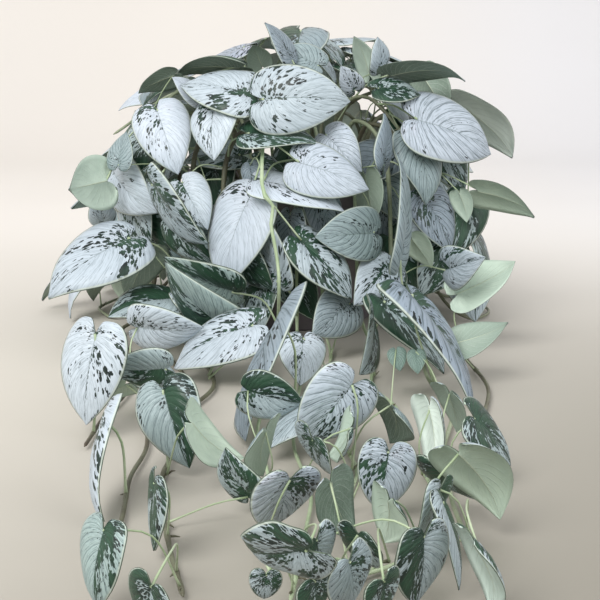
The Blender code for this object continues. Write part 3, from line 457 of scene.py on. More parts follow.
def blade_point(leaf, place):
    """A point of the flat heart, bowed along, folded at the midrib and twisted to the tip."""
    across, along, up = leaf_axes(leaf)
    length = (leaf.tip - leaf.base).length
    half = place.x * leaf.width / SHEET_WIDTH
    turn = leaf.twist * place.y
    lift = abs(place.x) * leaf.fold * leaf.width + 4 * leaf.bow * length * place.y * (1 - place.y)
    side = across * (half * math.cos(turn)) + up * (half * math.sin(turn))
    return leaf.base + along * (place.y * length) + side + up * lift


def blade_points(leaf):
    """All points of a leaf's sheet, with the short edge for the stalk at its real width."""
    points = [blade_point(leaf, place) for place in leaf.sheet.places]
    for index, place in enumerate(leaf.sheet.places):
        if 0 < abs(place.x) < NOTCH_WITHIN:
            across = leaf_axes(leaf)[0]
            points[index] = leaf.base + across * math.copysign(NOTCH_HALF, place.x)
    return points


trial_tip, trial_facing = Vector((0, 0, 0.09)), Vector((0, -1, 0))
trial_leaf = Leaf(Vector((0, 0, 0)), trial_tip, trial_facing, 0.07, 0.06, 0, 0, SEEN_SHEET)
print("a leaf 90 mm long bows by", round(max(abs(p.y) for p in blade_points(trial_leaf)) / MM, 1), "mm")

# %% [markdown]
# ## Skins to keep a distance
#
# Blades are thin, so two could pass through each other between the points that a test looks at. A
# closed skin a little larger than the piece is safer.

# %% Skins of blades and stalks
SKIN_SIDES = 5


def shell(leaf, room):
    """A closed skin round a blade, with room on every side of it."""
    _, along, up = leaf_axes(leaf)
    points = blade_points(leaf._replace(tip=leaf.tip + along * room, width=leaf.width + 2 * room))
    shift = up * (BLADE / 2 + room)
    count = len(points)
    faces = leaf.sheet.faces + [[index + count for index in face] for face in leaf.sheet.faces]
    faces += [[one, other, other + count, one + count] for one, other in leaf.sheet.rim]
    return [p + shift for p in points] + [p - shift for p in points], faces


def tube_shell(points, radius, sides=SKIN_SIDES):
    """A closed tube round a route, to test what a stem or a stalk would touch."""
    last = (len(points) - 1) * sides
    corners, faces = [], [list(range(sides)), list(range(last, last + sides))]
    reach = radius / math.cos(math.pi / sides)
    for index, point in enumerate(points):
        ahead = points[min(index + 1, len(points) - 1)] - points[max(index - 1, 0)]
        turn = ahead.to_track_quat("Z", "X")
        for corner in range(sides):
            angle = corner * math.tau / sides
            corners.append(point + turn @ Vector((math.cos(angle), math.sin(angle), 0)) * reach)
    for ring in range(len(points) - 1):
        for corner in range(sides):
            start, after = ring * sides + corner, ring * sides + (corner + 1) % sides
            faces.append([start, after, after + sides, start + sides])
    return corners, faces


print("corners and faces of that leaf's skin:", [len(part) for part in shell(trial_leaf, ROOM)])

# %% [markdown]
# ## Room for every leaf
#
# Leaves never pass through one another. A cloth run could see to that, but would move them from
# where the picture shows them. Here each new skin is tested against all before it, first by boxes,
# which is quick, and then face by face. The pot is the first of them: a closed cone a little wider
# than the pot is enough, since its rim and foot don't matter here.

# %% What is placed so far
POT_CLEAR_FOOT, POT_CLEAR_RIM = 2 * MM, 3 * MM
POT_SKIN_SIDES = 24
Placed = namedtuple("Placed", "vine kind low high tree")


def corners_of(points):
    """The two far corners of the box round some points."""
    low = Vector([min(p[axis] for p in points) for axis in range(3)])
    high = Vector([max(p[axis] for p in points) for axis in range(3)])
    return low, high


def placed(vine, kind, points, faces):
    """A skin with its box and its search tree."""
    low, high = corners_of(points)
    return Placed(vine, kind, low, high, BVHTree.FromPolygons(points, faces))


def apart(one, two):
    """Whether the boxes of two skins don't meet."""
    return any(one.high[axis] < two.low[axis] or one.low[axis] > two.high[axis] for axis in range(3))


def touched(piece, others, own_vine=None, loose=False):
    """Whether a piece would cross another one. It may cross its own stem, or if loose its own vine."""
    for other in others:
        if apart(piece, other):
            continue
        if own_vine and other.vine == own_vine and (loose or other.kind == "stem"):
            continue
        if piece.tree.overlap(other.tree):
            return True
    return False


def pot_shell():
    """The outside of the pot and the top of the soil, as a plain cone to keep clear of."""
    cone = bmesh.new()
    bmesh.ops.create_cone(cone, cap_ends=True, segments=POT_SKIN_SIDES,
                          radius1=POT_FOOT_RADIUS + POT_CLEAR_FOOT,
                          radius2=POT_RIM_RADIUS + POT_CLEAR_RIM, depth=POT_HEIGHT,
                          matrix=Matrix.Translation((0, 0, POT_HEIGHT / 2 + MM)))
    cone.verts.index_update()
    points = [vert.co.copy() for vert in cone.verts]
    faces = [[vert.index for vert in face.verts] for face in cone.faces]
    cone.free()
    return placed(None, "pot", points, faces)


print("top of the pot's cone in mm:", round(pot_shell().high.z / MM))

# %% [markdown]
# ## How a leaf is read
#
# A leaf that shows is a row of named values: where its notch and tip show, how wide it looks, and
# how deep it lies, in layers of the mound or as heights in millimetres. Traced outlines would copy
# the picture's flat shapes. These values give a real leaf that can be turned and bent.

# %% How a leaf is read
Seen = namedtuple("Seen", "base tip width layer heights under")


def mound(base, tip, width, layer=0, under=False):
    """A leaf on the mound. Its layer counts inwards from the outermost leaves."""
    return Seen(base, tip, width, layer, None, under)


def low(base, tip, width, heights=(45, 6), under=False):
    """A leaf of a vine that lies on the surface, with the heights of its base and tip."""
    return Seen(base, tip, width, 0, [height * MM for height in heights], under)


print("a leaf's row holds:", Seen._fields)

# %% [markdown]
# ## The leaves of the lying vines
#
# A leaf of a stem that lies down still holds itself up on its stalk, with its tip near the surface.
# Those that turn their backs to the view are marked as seen from under.

# %% Leaves of the lying vines
LOW_LEAVES = [
    low((412, 294), (478, 400), 32, (78, 8)),
    low((279, 318), (242, 440), 18, (72, 8)),
    low((372, 317), (361, 375), 18, (54, 20)),
    low((252, 325), (172, 366), 48, (50, 13)),
    low((317, 540), (318, 577), 36, (45, 18)),
    low((440, 490), (405, 556), 22),
    low((358, 535), (370, 568), 32, (45, 20)),
    low((103, 530), (96, 610), 46),
    low((151, 587), (149, 628), 44, (45, 18)),
    low((154, 483), (153, 551), 16),
    low((315, 582), (315, 614), 34, (42, 20)),
    low((350, 562), (350, 608), 40, (45, 14)),
    low((384, 582), (383, 614), 36, (42, 20)),
    low((425, 537), (415, 605), 50),
    low((266, 575), (264, 600), 34, (28, 12)),
    low((306, 551), (241, 546), 48, (42, 30)),
    low((443, 502), (461, 590), 12),
    low((476, 542), (497, 606), 24, (45, 6), True),
    low((290, 480), (270, 530), 60),
    low((248, 497), (224, 450), 40, (14, 46)),
    low((330, 482), (352, 538), 48, (45, 10), True),
    low((390, 500), (385, 542), 40, (40, 8), True),
    low((389, 452), (380, 513), 60),
    low((440, 470), (476, 498), 28, (36, 8)),
    low((460, 452), (502, 514), 62, (52, 10), True),
    low((475, 418), (513, 465), 34, (50, 14)),
    low((431, 406), (430, 477), 31, (52, 8), True),
    low((391, 405), (394, 440), 42, (44, 8), True),
    low((450, 393), (458, 431), 30, (44, 10), True),
    low((248, 391), (304, 404), 48, (46, 34)),
    low((352, 385), (299, 444), 68, (52, 8)),
    low((265, 430), (262, 476), 30, (45, 8), True),
    low((312, 440), (327, 470), 16, (40, 10)),
    low((352, 428), (332, 456), 24, (38, 10), True),
    low((163, 390), (188, 469), 66, (56, 8)),
    low((104, 418), (96, 521), 10, (52, 6)),
    low((190, 424), (240, 460), 46, (44, 12), True),
    low((125, 384), (100, 400), 28, (40, 24), True),
    low((95, 334), (86, 425), 62, (76, 12)),
]
print("leaves of the lying vines:", len(LOW_LEAVES))

# %% [markdown]
# ## The leaves of the mound
#
# On the mound the leaves overlap like feathers. Layer 0 is the outermost, and a negative one stands
# out of it. Outer leaves find their room before the ones behind them.

# %% Leaves of the mound
MOUND_LEAVES = [
    mound((165, 369), (108, 368), 40),
    mound((137, 328), (203, 329), 48),
    mound((175, 297), (108, 316), 34, 1),
    mound((303, 338), (300, 385), 48, 1),
    mound((385, 301), (445, 373), 38, -0.5),
    mound((396, 350), (400, 371), 20, 1),
    mound((416, 352), (418, 374), 20, 1),
    mound((454, 345), (509, 324), 35, 0, True),
    mound((350, 303), (313, 335), 52, 1),
    mound((251, 93), (180, 84), 48),
    mound((157, 110), (178, 174), 59),
    mound((214, 102), (213, 160), 46),
    mound((263, 99), (351, 100), 70, -0.6),
    mound((249, 133), (320, 141), 34, -0.5),
    mound((326, 135), (361, 171), 45, 0.6),
    mound((299, 162), (370, 188), 54),
    mound((264, 180), (346, 209), 34),
    mound((374, 233), (316, 237), 56, 1),
    mound((301, 240), (352, 299), 42),
    mound((391, 265), (355, 304), 52),
    mound((400, 260), (402, 153), 12),
    mound((384, 165), (388, 113), 12),
    mound((366, 176), (372, 226), 30, 2.6, True),
    mound((417, 119), (493, 153), 60),
    mound((453, 99), (514, 155), 44, 1, True),
    mound((391, 74), (466, 76), 24, 0, True),
    mound((370, 75), (354, 36), 24, 1, True),
    mound((380, 70), (378, 37), 20, 0.5),
    mound((378, 88), (421, 94), 22),
    mound((388, 98), (413, 140), 16),
    mound((400, 115), (415, 166), 26, 1),
    mound((355, 90), (341, 66), 26, 1),
    mound((424, 195), (452, 252), 44),
    mound((445, 270), (483, 258), 46),
    mound((458, 295), (517, 263), 44, 0, True),
    mound((479, 190), (536, 215), 30, 0, True),
    mound((460, 193), (468, 222), 22, 1, True),
    mound((410, 226), (431, 236), 24, 1),
    mound((412, 238), (432, 268), 28, 2, True),
    mound((318, 65), (276, 50), 34, 1),
    mound((292, 60), (266, 22), 20, 1),
    mound((262, 66), (252, 44), 26, 2, True),
    mound((313, 48), (337, 82), 12, 1),
    mound((240, 66), (176, 70), 24, 1, True),
    mound((174, 74), (138, 92), 24, 1, True),
    mound((200, 98), (172, 77), 22, 1),
    mound((154, 92), (118, 110), 14, 2),
    mound((106, 181), (68, 190), 56, 0, True),
    mound((118, 165), (126, 131), 26, 1),
    mound((110, 170), (154, 214), 46),
    mound((104, 222), (96, 194), 28, 1),
    mound((128, 238), (46, 293), 64),
    mound((152, 185), (204, 247), 26),
    mound((172, 222), (215, 266), 40, 1),
    mound((232, 292), (163, 258), 34),
    mound((221, 326), (164, 262), 46, -0.3),
    mound((182, 183), (207, 229), 46, 1),
    mound((240, 155), (181, 161), 28, 1),
    mound((250, 195), (225, 289), 60),
    mound((277, 281), (258, 205), 34),
    mound((290, 215), (288, 265), 30, 1),
    mound((250, 165), (255, 192), 22, 1),
    mound((255, 160), (290, 180), 26, 1),
    mound((214, 212), (200, 250), 30, 2),
    mound((262, 285), (258, 335), 34, 1),
    mound((150, 250), (128, 300), 40, 2, True),
    mound((424, 76), (446, 120), 36, 2, True),
]
print("leaves of the mound:", len(MOUND_LEAVES))

# %% [markdown]
# ## From the view to the plant
#
# A blade that looks narrow must be turned about its midrib, and of the two ways to turn it, the one
# that faces out of the mound is natural. If a leaf would touch another, it slides along its lines
# of sight, and so still shows in the same place.

# %% From the view to the plant
NARROWEST = 0.1
TIP_LONGER, TIP_FLATTER = 1.25, 1.02
SLIDE = 4 * MM
SLIDES = [0, 1, 2, -1, 3, -2, 4, -3, 5, 6, -4, 7, 8, -5, 9, 10, 11, 12, 14, 16, 18, 20, 22, 24, 27, 30]
LIFTS = [0, -1, -2, 1, -3, -4, 2, -5, -6, -7, 3, -8, -9, -10, 4, -11, -12, -14, -16, 6, -18]
SHAPES_TRIED = 3
SMALL_WIDTH = 36


def outward(point):
    """The way the foliage faces at a point: out of the dome, and up on the skirt."""
    lean = Vector((point.x / MOUND_HALF_WIDTH ** 2, point.y / MOUND_HALF_DEPTH ** 2,
                   max(point.z - MOUND_MIDDLE, 0) / MOUND_RISE ** 2 + 1))
    return lean.normalized()


def facing_for(base, tip, width_share, under):
    """The upper face's direction, turned about the midrib until the blade looks narrow enough."""
    along = (tip - base).normalized()
    to_eye = EYE - (base + tip) / 2
    full = (to_eye - along * to_eye.dot(along)).normalized()
    turn = math.acos(max(NARROWEST, min(1, width_share)))
    ways = [Matrix.Rotation(turn * side, 3, along) @ full for side in (1, -1)]
    if under:
        ways = [-way for way in ways]
    return max(ways, key=outward((base + tip) / 2).dot)


def nearer_depth(place, base, length):
    """The depth on a place's sight line, on its near side, at a length from the base."""
    ray = sight(place)
    to_base = base - EYE
    middle = ray.dot(to_base) / ray.length_squared
    short = length ** 2 - (EYE + ray * middle - base).length_squared
    return middle - math.sqrt(max(short, 0) / ray.length_squared)


def leaf_from_view(seen_leaf, slide, shape):
    """A leaf as the front view shows it, moved along the sight lines by a slide."""
    if seen_leaf.heights:
        base_depth = depth_at_height(seen_leaf.base, seen_leaf.heights[0]) + slide
        tip_depth = depth_at_height(seen_leaf.tip, seen_leaf.heights[1]) + slide
    else:
        base_depth = depth_on_foliage(seen_leaf.base) + seen_leaf.layer * LAYER + slide
        tip_depth = depth_on_foliage(seen_leaf.tip) + seen_leaf.layer * LAYER + slide
    base = EYE + sight(seen_leaf.base) * base_depth
    width = seen_leaf.width * base_depth / VIEW_SCALE
    tip = EYE + sight(seen_leaf.tip) * tip_depth
    if not seen_leaf.heights:
        flat = (EYE + sight(seen_leaf.tip) * base_depth - base).length
        length = max(flat, width / BLADE_ASPECT)
        if (tip - base).length > TIP_LONGER * length or length > TIP_FLATTER * flat:
            tip = EYE + sight(seen_leaf.tip) * nearer_depth(seen_leaf.tip, base, length)
    length = (tip - base).length
    true_width = min(max(length * BLADE_ASPECT, width), length)
    facing = facing_for(base, tip, width / true_width, seen_leaf.under)
    return Leaf(base, tip, facing, true_width, *shape)


first_leaf = leaf_from_view(MOUND_LEAVES[0], 0, (0, 0, 0, SEEN_SHEET))
print("the mound's first leaf is", round((first_leaf.tip - first_leaf.base).length / MM), "mm long")

# %% [markdown]
# ## Stalks
#
# A stalk rises from its stem and bends over into the leaf's notch. A straight one would often run
# through its own blade. A curve that arrives from below looks grown, and can be bent in a few ways
# until one is clear.

# %% The route of a stalk
Node = namedtuple("Node", "vine point ahead")
STALK_WAYS = ((0.8, 0.7), (0.2, 0.4), (-0.3, 0.9), (0.8, 1.3), (0.1, 1.4), (1.5, 0.2))
STALK_AHEAD = 0.5
START_SHARE, FINISH_SHARE = 0.38, 0.35
FINISH_LONGEST = 22 * MM


def stalk_route(node, leaf, rise, bend):
    """A stalk from the middle of a stem to a blade's notch: how it rises, then bends down into it."""
    _, along, up = leaf_axes(leaf)
    span = (leaf.base - node.point).length
    way_up = (node.ahead * STALK_AHEAD + Vector((0, 0, rise))).normalized()
    start = node.point + way_up * span * START_SHARE
    arrival = along * math.cos(bend) + up * math.sin(bend)
    finish = leaf.base - arrival * min(span * FINISH_SHARE, FINISH_LONGEST)
    count = 3 if span < STALK_SIMPLE else 4
    return [Vector(p) for p in interpolate_bezier(node.point, start, finish, leaf.base, count)]


print("ways to bend a stalk:", len(STALK_WAYS))

# %% [markdown]
# ## From which stem
#
# The picture hides where most stalks start. Stalks are much alike in length, so the stem points
# nearest the usual length are tried first. Only if nothing else works may a stalk pass close to its
# own vine's leaves.

# %% Find a stem point
NODES_TRIED = 90


def find_stalk(leaf, blade, nodes, others, loose=False):
    """The first stem point, nearest the usual length, that a clear stalk can reach."""
    reach = []
    for node in nodes:
        span = (leaf.base - node.point).length
        if STALK_SHORTEST < span < STALK_LONGEST:
            reach.append((abs(span - STALK_USUAL), node))
    reach.sort(key=lambda entry: entry[0])
    for _, node in reach[:NODES_TRIED]:
        for rise, bend in STALK_WAYS:
            route = stalk_route(node, leaf, rise, bend)
            if min(point.z for point in route) < STALK_HALF + FLOOR_ROOM:
                continue
            tube = placed(node.vine, "stalk", *tube_shell(route, STALK_REACH + ROOM))
            if touched(tube, others, node.vine, loose):
                continue
            early = placed(node.vine, "stalk", *tube_shell(route[:-1], STALK_REACH + ROOM))
            if not early.tree.overlap(blade.tree):
                return node, route, tube
    return None


print("stalk lengths in mm:", round(STALK_SHORTEST / MM), "to", round(STALK_LONGEST / MM))

# %% [markdown]
# ## Grow one leaf
#
# Each leaf has a list of candidates, the best first. The first one whose blade and stalk both have
# room is kept, and all later leaves have to miss it. How a leaf bows, folds and twists is drawn by
# chance. The draws are seeded, so the same plant grows in every run, and each fine leaf fits the
# solid made by the same draws.

# %% Try leaves until one has room
BOWS = (0.03, 0.09)
FOLDS = (-0.16, 0.10)
TWISTS = (-0.25, 0.25)
WIDTH_SHARES = (0.76, 0.86)
Grown = namedtuple("Grown", "vine leaf route source")


def try_leaves(source, candidates, nodes, others):
    """Grow the first of the candidate leaves that has room, with its stalk."""
    roomy = []
    for leaf in candidates:
        points, faces = shell(leaf, ROOM)
        if min(point.z for point in points) < FLOOR_ROOM:
            continue
        blade = placed(None, "blade", points, faces)
        if touched(blade, others):
            continue
        roomy.append((leaf, blade))
        found = find_stalk(leaf, blade, nodes, others)
        if found:
            return keep_leaf(source, leaf, blade, found, others)
    for leaf, blade in roomy:
        found = find_stalk(leaf, blade, nodes, others, loose=True)
        if found:
            return keep_leaf(source, leaf, blade, found, others)
    return None


def keep_leaf(source, leaf, blade, found, others):
    """Note the blade and the stalk as placed, and give back the grown leaf."""
    node, route, tube = found
    others.append(blade._replace(vine=node.vine))
    others.append(tube)
    return Grown(node.vine, leaf, route, source)


def leaf_shape(draw, sheet=PLAIN_SHEET):
    """Bow, fold and twist of one blade, and the sheet that it is made from."""
    return draw.uniform(*BOWS), draw.uniform(*FOLDS), draw.uniform(*TWISTS), sheet


print("bow, fold and twist of a leaf, for one:", leaf_shape(random.Random(1))[:3])

# %% [markdown]
# ## The sides and the back
#
# The picture doesn't show the far half of the plant. Its leaves are set in rings like roof tiles,
# each ring half a step aside from the next. Particles would pass through each other; here each leaf
# swings and sinks until it has room.

# %% Rings of leaves
Ring = namedtuple("Ring", "height count length")
RINGS = [Ring(280, 3, 84), Ring(244, 6, 96), Ring(204, 8, 104), Ring(160, 9, 106),
         Ring(116, 9, 104), Ring(76, 7, 94)]
SIDE_START, SIDE_END = -19, 199
SIDE_REACH = 0.78
SIDE_SINK = 0.015
SIDE_DROP = 60 * MM
SIDE_DEPTH = 1.1
SIDE_SWING = 1.2
SIDE_LIFTS = (0.05, 0.55)
SIDE_SIZES = (0.85, 1.12)
SIDE_OUT = 0.6
SIDE_LEAN = (-0.25, 0.25)
LOWEST_TIP = 8 * MM


def side_leaf(azimuth, height, length, sink, draw):
    """A leaf on the dome, tip down and out, like a roof tile."""
    angle = math.radians(azimuth)
    out = Vector((math.cos(angle), math.sin(angle), 0))
    reach = math.sqrt(max(0.0, 1 - ((height - MOUND_MIDDLE) / MOUND_RISE) ** 2))
    base = Vector((MOUND_HALF_WIDTH * out.x, MOUND_HALF_DEPTH * SIDE_DEPTH * out.y, 0)) * reach
    base *= SIDE_REACH - sink
    base.z = height - sink * SIDE_DROP
    normal = (outward(base) + out * SIDE_OUT).normalized()
    down = Vector((0, 0, -1))
    downhill = (down - normal * down.dot(normal)).normalized()
    swing = Matrix.Rotation(draw.uniform(-SIDE_SWING, SIDE_SWING), 3, normal)
    heading = (swing @ downhill + normal * draw.uniform(*SIDE_LIFTS)).normalized()
    size = length * draw.uniform(*SIDE_SIZES)
    tip = base + heading * size
    tip.z = max(tip.z, LOWEST_TIP)
    facing = normal + Vector((draw.uniform(*SIDE_LEAN), draw.uniform(*SIDE_LEAN), 0))
    return Leaf(base, tip, facing, size * draw.uniform(*WIDTH_SHARES), *leaf_shape(draw))


print("places for leaves in the rings:", sum(ring.count for ring in RINGS))

# %% [markdown]
# ## The top
#
# From above, leaves turn their faces to the light. Their places follow the spiral of a sunflower,
# which covers a round area evenly without rows that the eye would notice.

# %% Leaves of the top
TOP_COUNT = 26
TOP_RADIUS = 118 * MM
TOP_SIZES = (56, 82)
TOP_DROP, TOP_SINK = 14 * MM, 3 * MM
TOP_TRIES = 24
TOP_FRONT = -40 * MM
GOLDEN_ANGLE = math.pi * (3 - math.sqrt(5))


def top_leaf(step, drop, draw):
    """A leaf over the middle of the pot, face up, tip outwards."""
    angle = step * GOLDEN_ANGLE + draw.uniform(-0.3, 0.3)
    base = polar(TOP_RADIUS * math.sqrt((step + 0.6) / TOP_COUNT), math.degrees(angle), 0)
    base.z = foliage_height(base.x, base.y) - drop
    turn = angle + draw.uniform(-1.6, 1.6)
    size = draw.uniform(*TOP_SIZES) * MM
    heading = Vector((math.cos(turn), math.sin(turn), draw.uniform(-0.5, 0.05))).normalized()
    lean = Vector((draw.uniform(-0.1, 0.1), draw.uniform(-0.1, 0.1), 0.3))
    facing = Vector((base.x * 2, base.y * 2, 0)) + lean
    width = size * draw.uniform(*WIDTH_SHARES)
    return Leaf(base, base + heading * size, facing, width, *leaf_shape(draw))


print("places for leaves on the top:", TOP_COUNT)

# %% [markdown]
# ## The outline that the eye sees
#
# A leaf placed by rule must not stand out over the mound's outline in the picture. That outline is
# a few named points, and each candidate leaf is tested against it.

# %% The mound's outline
SKYLINE = ((40, 330), (60, 290), (66, 186), (100, 152), (126, 112), (140, 85), (200, 57), (255, 34),
           (300, 22), (352, 36), (384, 40), (410, 62), (468, 76), (492, 118), (500, 330))
OUTLINE_FOOT = 330


def place_of(point):
    """Where the eye sees a point in the front view."""
    offset = point - EYE
    tilt_cos, tilt_sin = math.cos(EYE_TILT), math.sin(EYE_TILT)
    depth = offset.y * tilt_cos - offset.z * tilt_sin
    rise = offset.y * tilt_sin + offset.z * tilt_cos
    return VIEW_MIDDLE + VIEW_SCALE * offset.x / depth, VIEW_MIDDLE - VIEW_SCALE * rise / depth


def skyline_at(x):
    """How high the mound's outline stands in the front view."""
    for (left, start), (right, end) in zip(SKYLINE, SKYLINE[1:]):
        if left <= x <= right:
            return start + (end - start) * (x - left) / (right - left)
    return OUTLINE_FOOT


def under_skyline(leaves):
    """The leaves that the eye wouldn't see over the mound's outline."""
    kept = []
    for leaf in leaves:
        places = [place_of(point) for point in blade_points(leaf)]
        if all(y > skyline_at(x) or y > OUTLINE_FOOT for x, y in places):
            kept.append(leaf)
    return kept


print("the outline over the middle of the view:", skyline_at(VIEW_MIDDLE))

# %% [markdown]
# ## Grow the top and the rings
#
# Each place gets a list of tries, and from one to the next the leaf sits lower or further in, as
# shaded leaves do.

# %% Grow the top and the rings
RULE_TRIES = 28
HEIGHT_SPREAD = (-12, 12)
TURN_SPREAD = (-6, 6)


def top_leaves(draw, nodes, others):
    """Leaves over the middle of the pot, behind the ones that the picture shows."""
    grown = []
    for step in range(TOP_COUNT):
        tries = [top_leaf(step, TOP_DROP + attempt * TOP_SINK, draw) for attempt in range(TOP_TRIES)]
        behind = [leaf for leaf in under_skyline(tries) if leaf.base.y > TOP_FRONT]
        grown.append(try_leaves(("top", step), behind, nodes, others))
    return grown


def side_leaves(draw, nodes, others):
    """The rings of leaves round the sides and the back."""
    grown = []
    for row, ring in enumerate(RINGS):
        for step in range(ring.count):
            azimuth = SIDE_START + (SIDE_END - SIDE_START) * (step + (row % 2) * 0.5) / ring.count
            tries = []
            for attempt in range(RULE_TRIES):
                height = (ring.height + draw.uniform(*HEIGHT_SPREAD)) * MM
                turned = azimuth + draw.uniform(*TURN_SPREAD)
                sink = SIDE_SINK * (attempt + 1)
                tries.append(side_leaf(turned, height, ring.length * MM, sink, draw))
            grown.append(try_leaves(("side", row, step), under_skyline(tries), nodes, others))
    return grown


print("tries for each ring leaf:", RULE_TRIES)

# %% [markdown]
# ## Leaves beside a lying stem
#
# A lying stem holds its leaves up to the light, one to the left and the next to the right, with
# their tips bent down again.

# %% Leaves of the back and side vines
GROUND_STEP = 6
GROUND_SIZES = (54, 72)
GROUND_VINES = [vine.name for vine in VINES if not vine.name.startswith(("vine_crown", "vine_front"))]
LYING_BELOW = 12 * MM


def ground_leaf(point, ahead, side, draw):
    """A leaf that a lying stem holds up beside it, tip down to the surface."""
    aside = Vector((-ahead.y, ahead.x, 0)).normalized() * side
    onward = Vector((ahead.x, ahead.y, 0))
    way = (aside * draw.uniform(0.7, 1.1) + onward * draw.uniform(0.3, 0.9)).normalized()
    size = draw.uniform(*GROUND_SIZES) * MM
    base = point + way * draw.uniform(14, 26) * MM + Vector((0, 0, draw.uniform(34, 50) * MM))
    drop = min(base.z - draw.uniform(7, 14) * MM, size * 0.85)
    tip = base + way * math.sqrt(size ** 2 - drop ** 2) - Vector((0, 0, drop))
    facing = Vector((0, 0, 1)) + way * 0.9 + aside * draw.uniform(-0.2, 0.2)
    return Leaf(base, tip, facing, size * draw.uniform(*WIDTH_SHARES), *leaf_shape(draw))


def ground_leaves(draw, nodes, others):
    """Leaves of the vines that lie to the sides and the back."""
    grown = []
    for vine in GROUND_VINES:
        lying = [node for node in nodes if node.vine == vine and node.point.z < LYING_BELOW]
        for count, node in enumerate(lying[::GROUND_STEP]):
            side = 1 if count % 2 else -1
            tries = [ground_leaf(node.point, node.ahead, side, draw) for _ in range(RULE_TRIES)]
            grown.append(try_leaves(("ground", vine, count), tries, nodes, others))
    return grown


print("vines with leaves by rule:", len(GROUND_VINES))

# %% [markdown]
# ## Deeper leaves
#
# Between the leaves that show, deeper ones close the view into the mound. A dark ball inside would
# look like a hole. So the eye looks in over a shaken grid, and where it still sees in, a leaf grows
# some layers down.

# %% Deeper leaves
FILL_MIDDLE = (292, 188)
FILL_HALF = (206, 128)
FILL_STEP = 19
FILL_LAYERS = (1, 1.6, 2.2, 2.8, 3.4, 4.2, 5)
FILL_TRIES = 4
FILL_DEPTH = 100 * MM
FILL_LEAN = 80
FILL_SIZES = (56, 78)
FILL_BACK, FILL_AHEAD = 0.42, 0.58
SHAKE = (-0.3, 0.3)


def in_sight(point, others):
    """Whether the eye sees a point past the blades that are placed."""
    ray = point - EYE
    for other in others:
        if other.kind == "blade" and other.tree.ray_cast(EYE, ray, ray.length - MM)[0]:
            return False
    return True


def fill_leaf(place, layer, draw):
    """A leaf whose middle covers a place of the front view, some layers in."""
    lean = math.radians(draw.uniform(-FILL_LEAN, FILL_LEAN))
    length = draw.uniform(*FILL_SIZES)
    back, ahead = FILL_BACK * length, FILL_AHEAD * length
    base = (place[0] - back * math.sin(lean), place[1] - back * math.cos(lean))
    tip = (place[0] + ahead * math.sin(lean), place[1] + ahead * math.cos(lean))
    width = length * BLADE_ASPECT * draw.uniform(0.7, 1.0)
    return leaf_from_view(mound(base, tip, width, layer), 0, leaf_shape(draw))


def fill_places(draw):
    """Places of a shaken grid that covers the mound in the front view."""
    rows = math.ceil(FILL_HALF[1] / FILL_STEP)
    columns = math.ceil(FILL_HALF[0] / FILL_STEP)
    places = []
    for row in range(-rows, rows + 1):
        for column in range(-columns, columns + 1):
            x = FILL_STEP * (column + draw.uniform(*SHAKE))
            y = FILL_STEP * (row + draw.uniform(*SHAKE))
            if math.hypot(x / FILL_HALF[0], y / FILL_HALF[1]) <= 1:
                places.append((FILL_MIDDLE[0] + x, FILL_MIDDLE[1] + y))
    return places


def fill_leaves(draw, nodes, others):
    """Leaves where the eye still sees into the mound."""
    grown = []
    for place in fill_places(draw):
        if in_sight(EYE + sight(place) * (depth_on_foliage(place) + FILL_DEPTH), others):
            tries = [fill_leaf(place, layer, draw) for layer in FILL_LAYERS for _ in range(FILL_TRIES)]
            grown.append(try_leaves(("fill", place), under_skyline(tries), nodes, others))
    return grown


print("places to look into the mound:", len(fill_places(random.Random(1))))

# %% [markdown]
# ## Hidden leaves
#
# Seen from the side, a front vine with only the leaves in the picture would look bare. Others grow
# low on it, where nearer leaves hide them from the picture's eye.

# %% Hidden leaves
HIDDEN_STEP = 6
HIDDEN_TRIES = 60
HIDDEN_BELOW = 30 * MM
FRONT_VINES = [vine.name for vine in VINES if vine.name.startswith("vine_front")]


def out_of_sight(leaf, others):
    """Whether the eye sees no point of a leaf."""
    return not any(in_sight(point, others) for point in blade_points(leaf))


def hidden_leaves(draw, nodes, others):
    """Leaves of the front vines that the eye doesn't see."""
    grown = []
    for vine in FRONT_VINES:
        lying = [node for node in nodes if node.vine == vine and node.point.z < HIDDEN_BELOW]
        for count, node in enumerate(lying[::HIDDEN_STEP]):
            tries = []
            for attempt in range(HIDDEN_TRIES):
                leaf = ground_leaf(node.point, node.ahead, 1 if (count + attempt) % 2 else -1, draw)
                if out_of_sight(leaf, others):
                    tries.append(leaf)
            if tries:
                grown.append(try_leaves(("hidden", vine, count), tries, nodes, others))
    return grown


print("front vines:", len(FRONT_VINES))

# %% [markdown]
# ## Plan the plant
#
# The leaves find room in a fixed order: the top, the leaves that show, the deeper ones, the rings,
# and the rest. Stalks may leave a stem at any of its closely set points, but not just above the
# soil, where old stems are bare.

# %% Plan
BARE_FROM, BARE_TO = 60 * MM, SOIL_TOP + 14 * MM


def stem_nodes(stems):
    """Points of the stems that a stalk can leave from, above the soil."""
    nodes = []
    for vine, route in stems.items():
        for here, after in zip(route[1:], route[2:]):
            count = max(1, round((after - here).length / NODE_STEP))
            ahead = (after - here).normalized()
            spots = [here.lerp(after, (step + 0.5) / count) for step in range(count)]
            nodes += [Node(vine, spot, ahead) for spot in spots]
    return [node for node in nodes if node.point.z < BARE_FROM or node.point.z > BARE_TO]


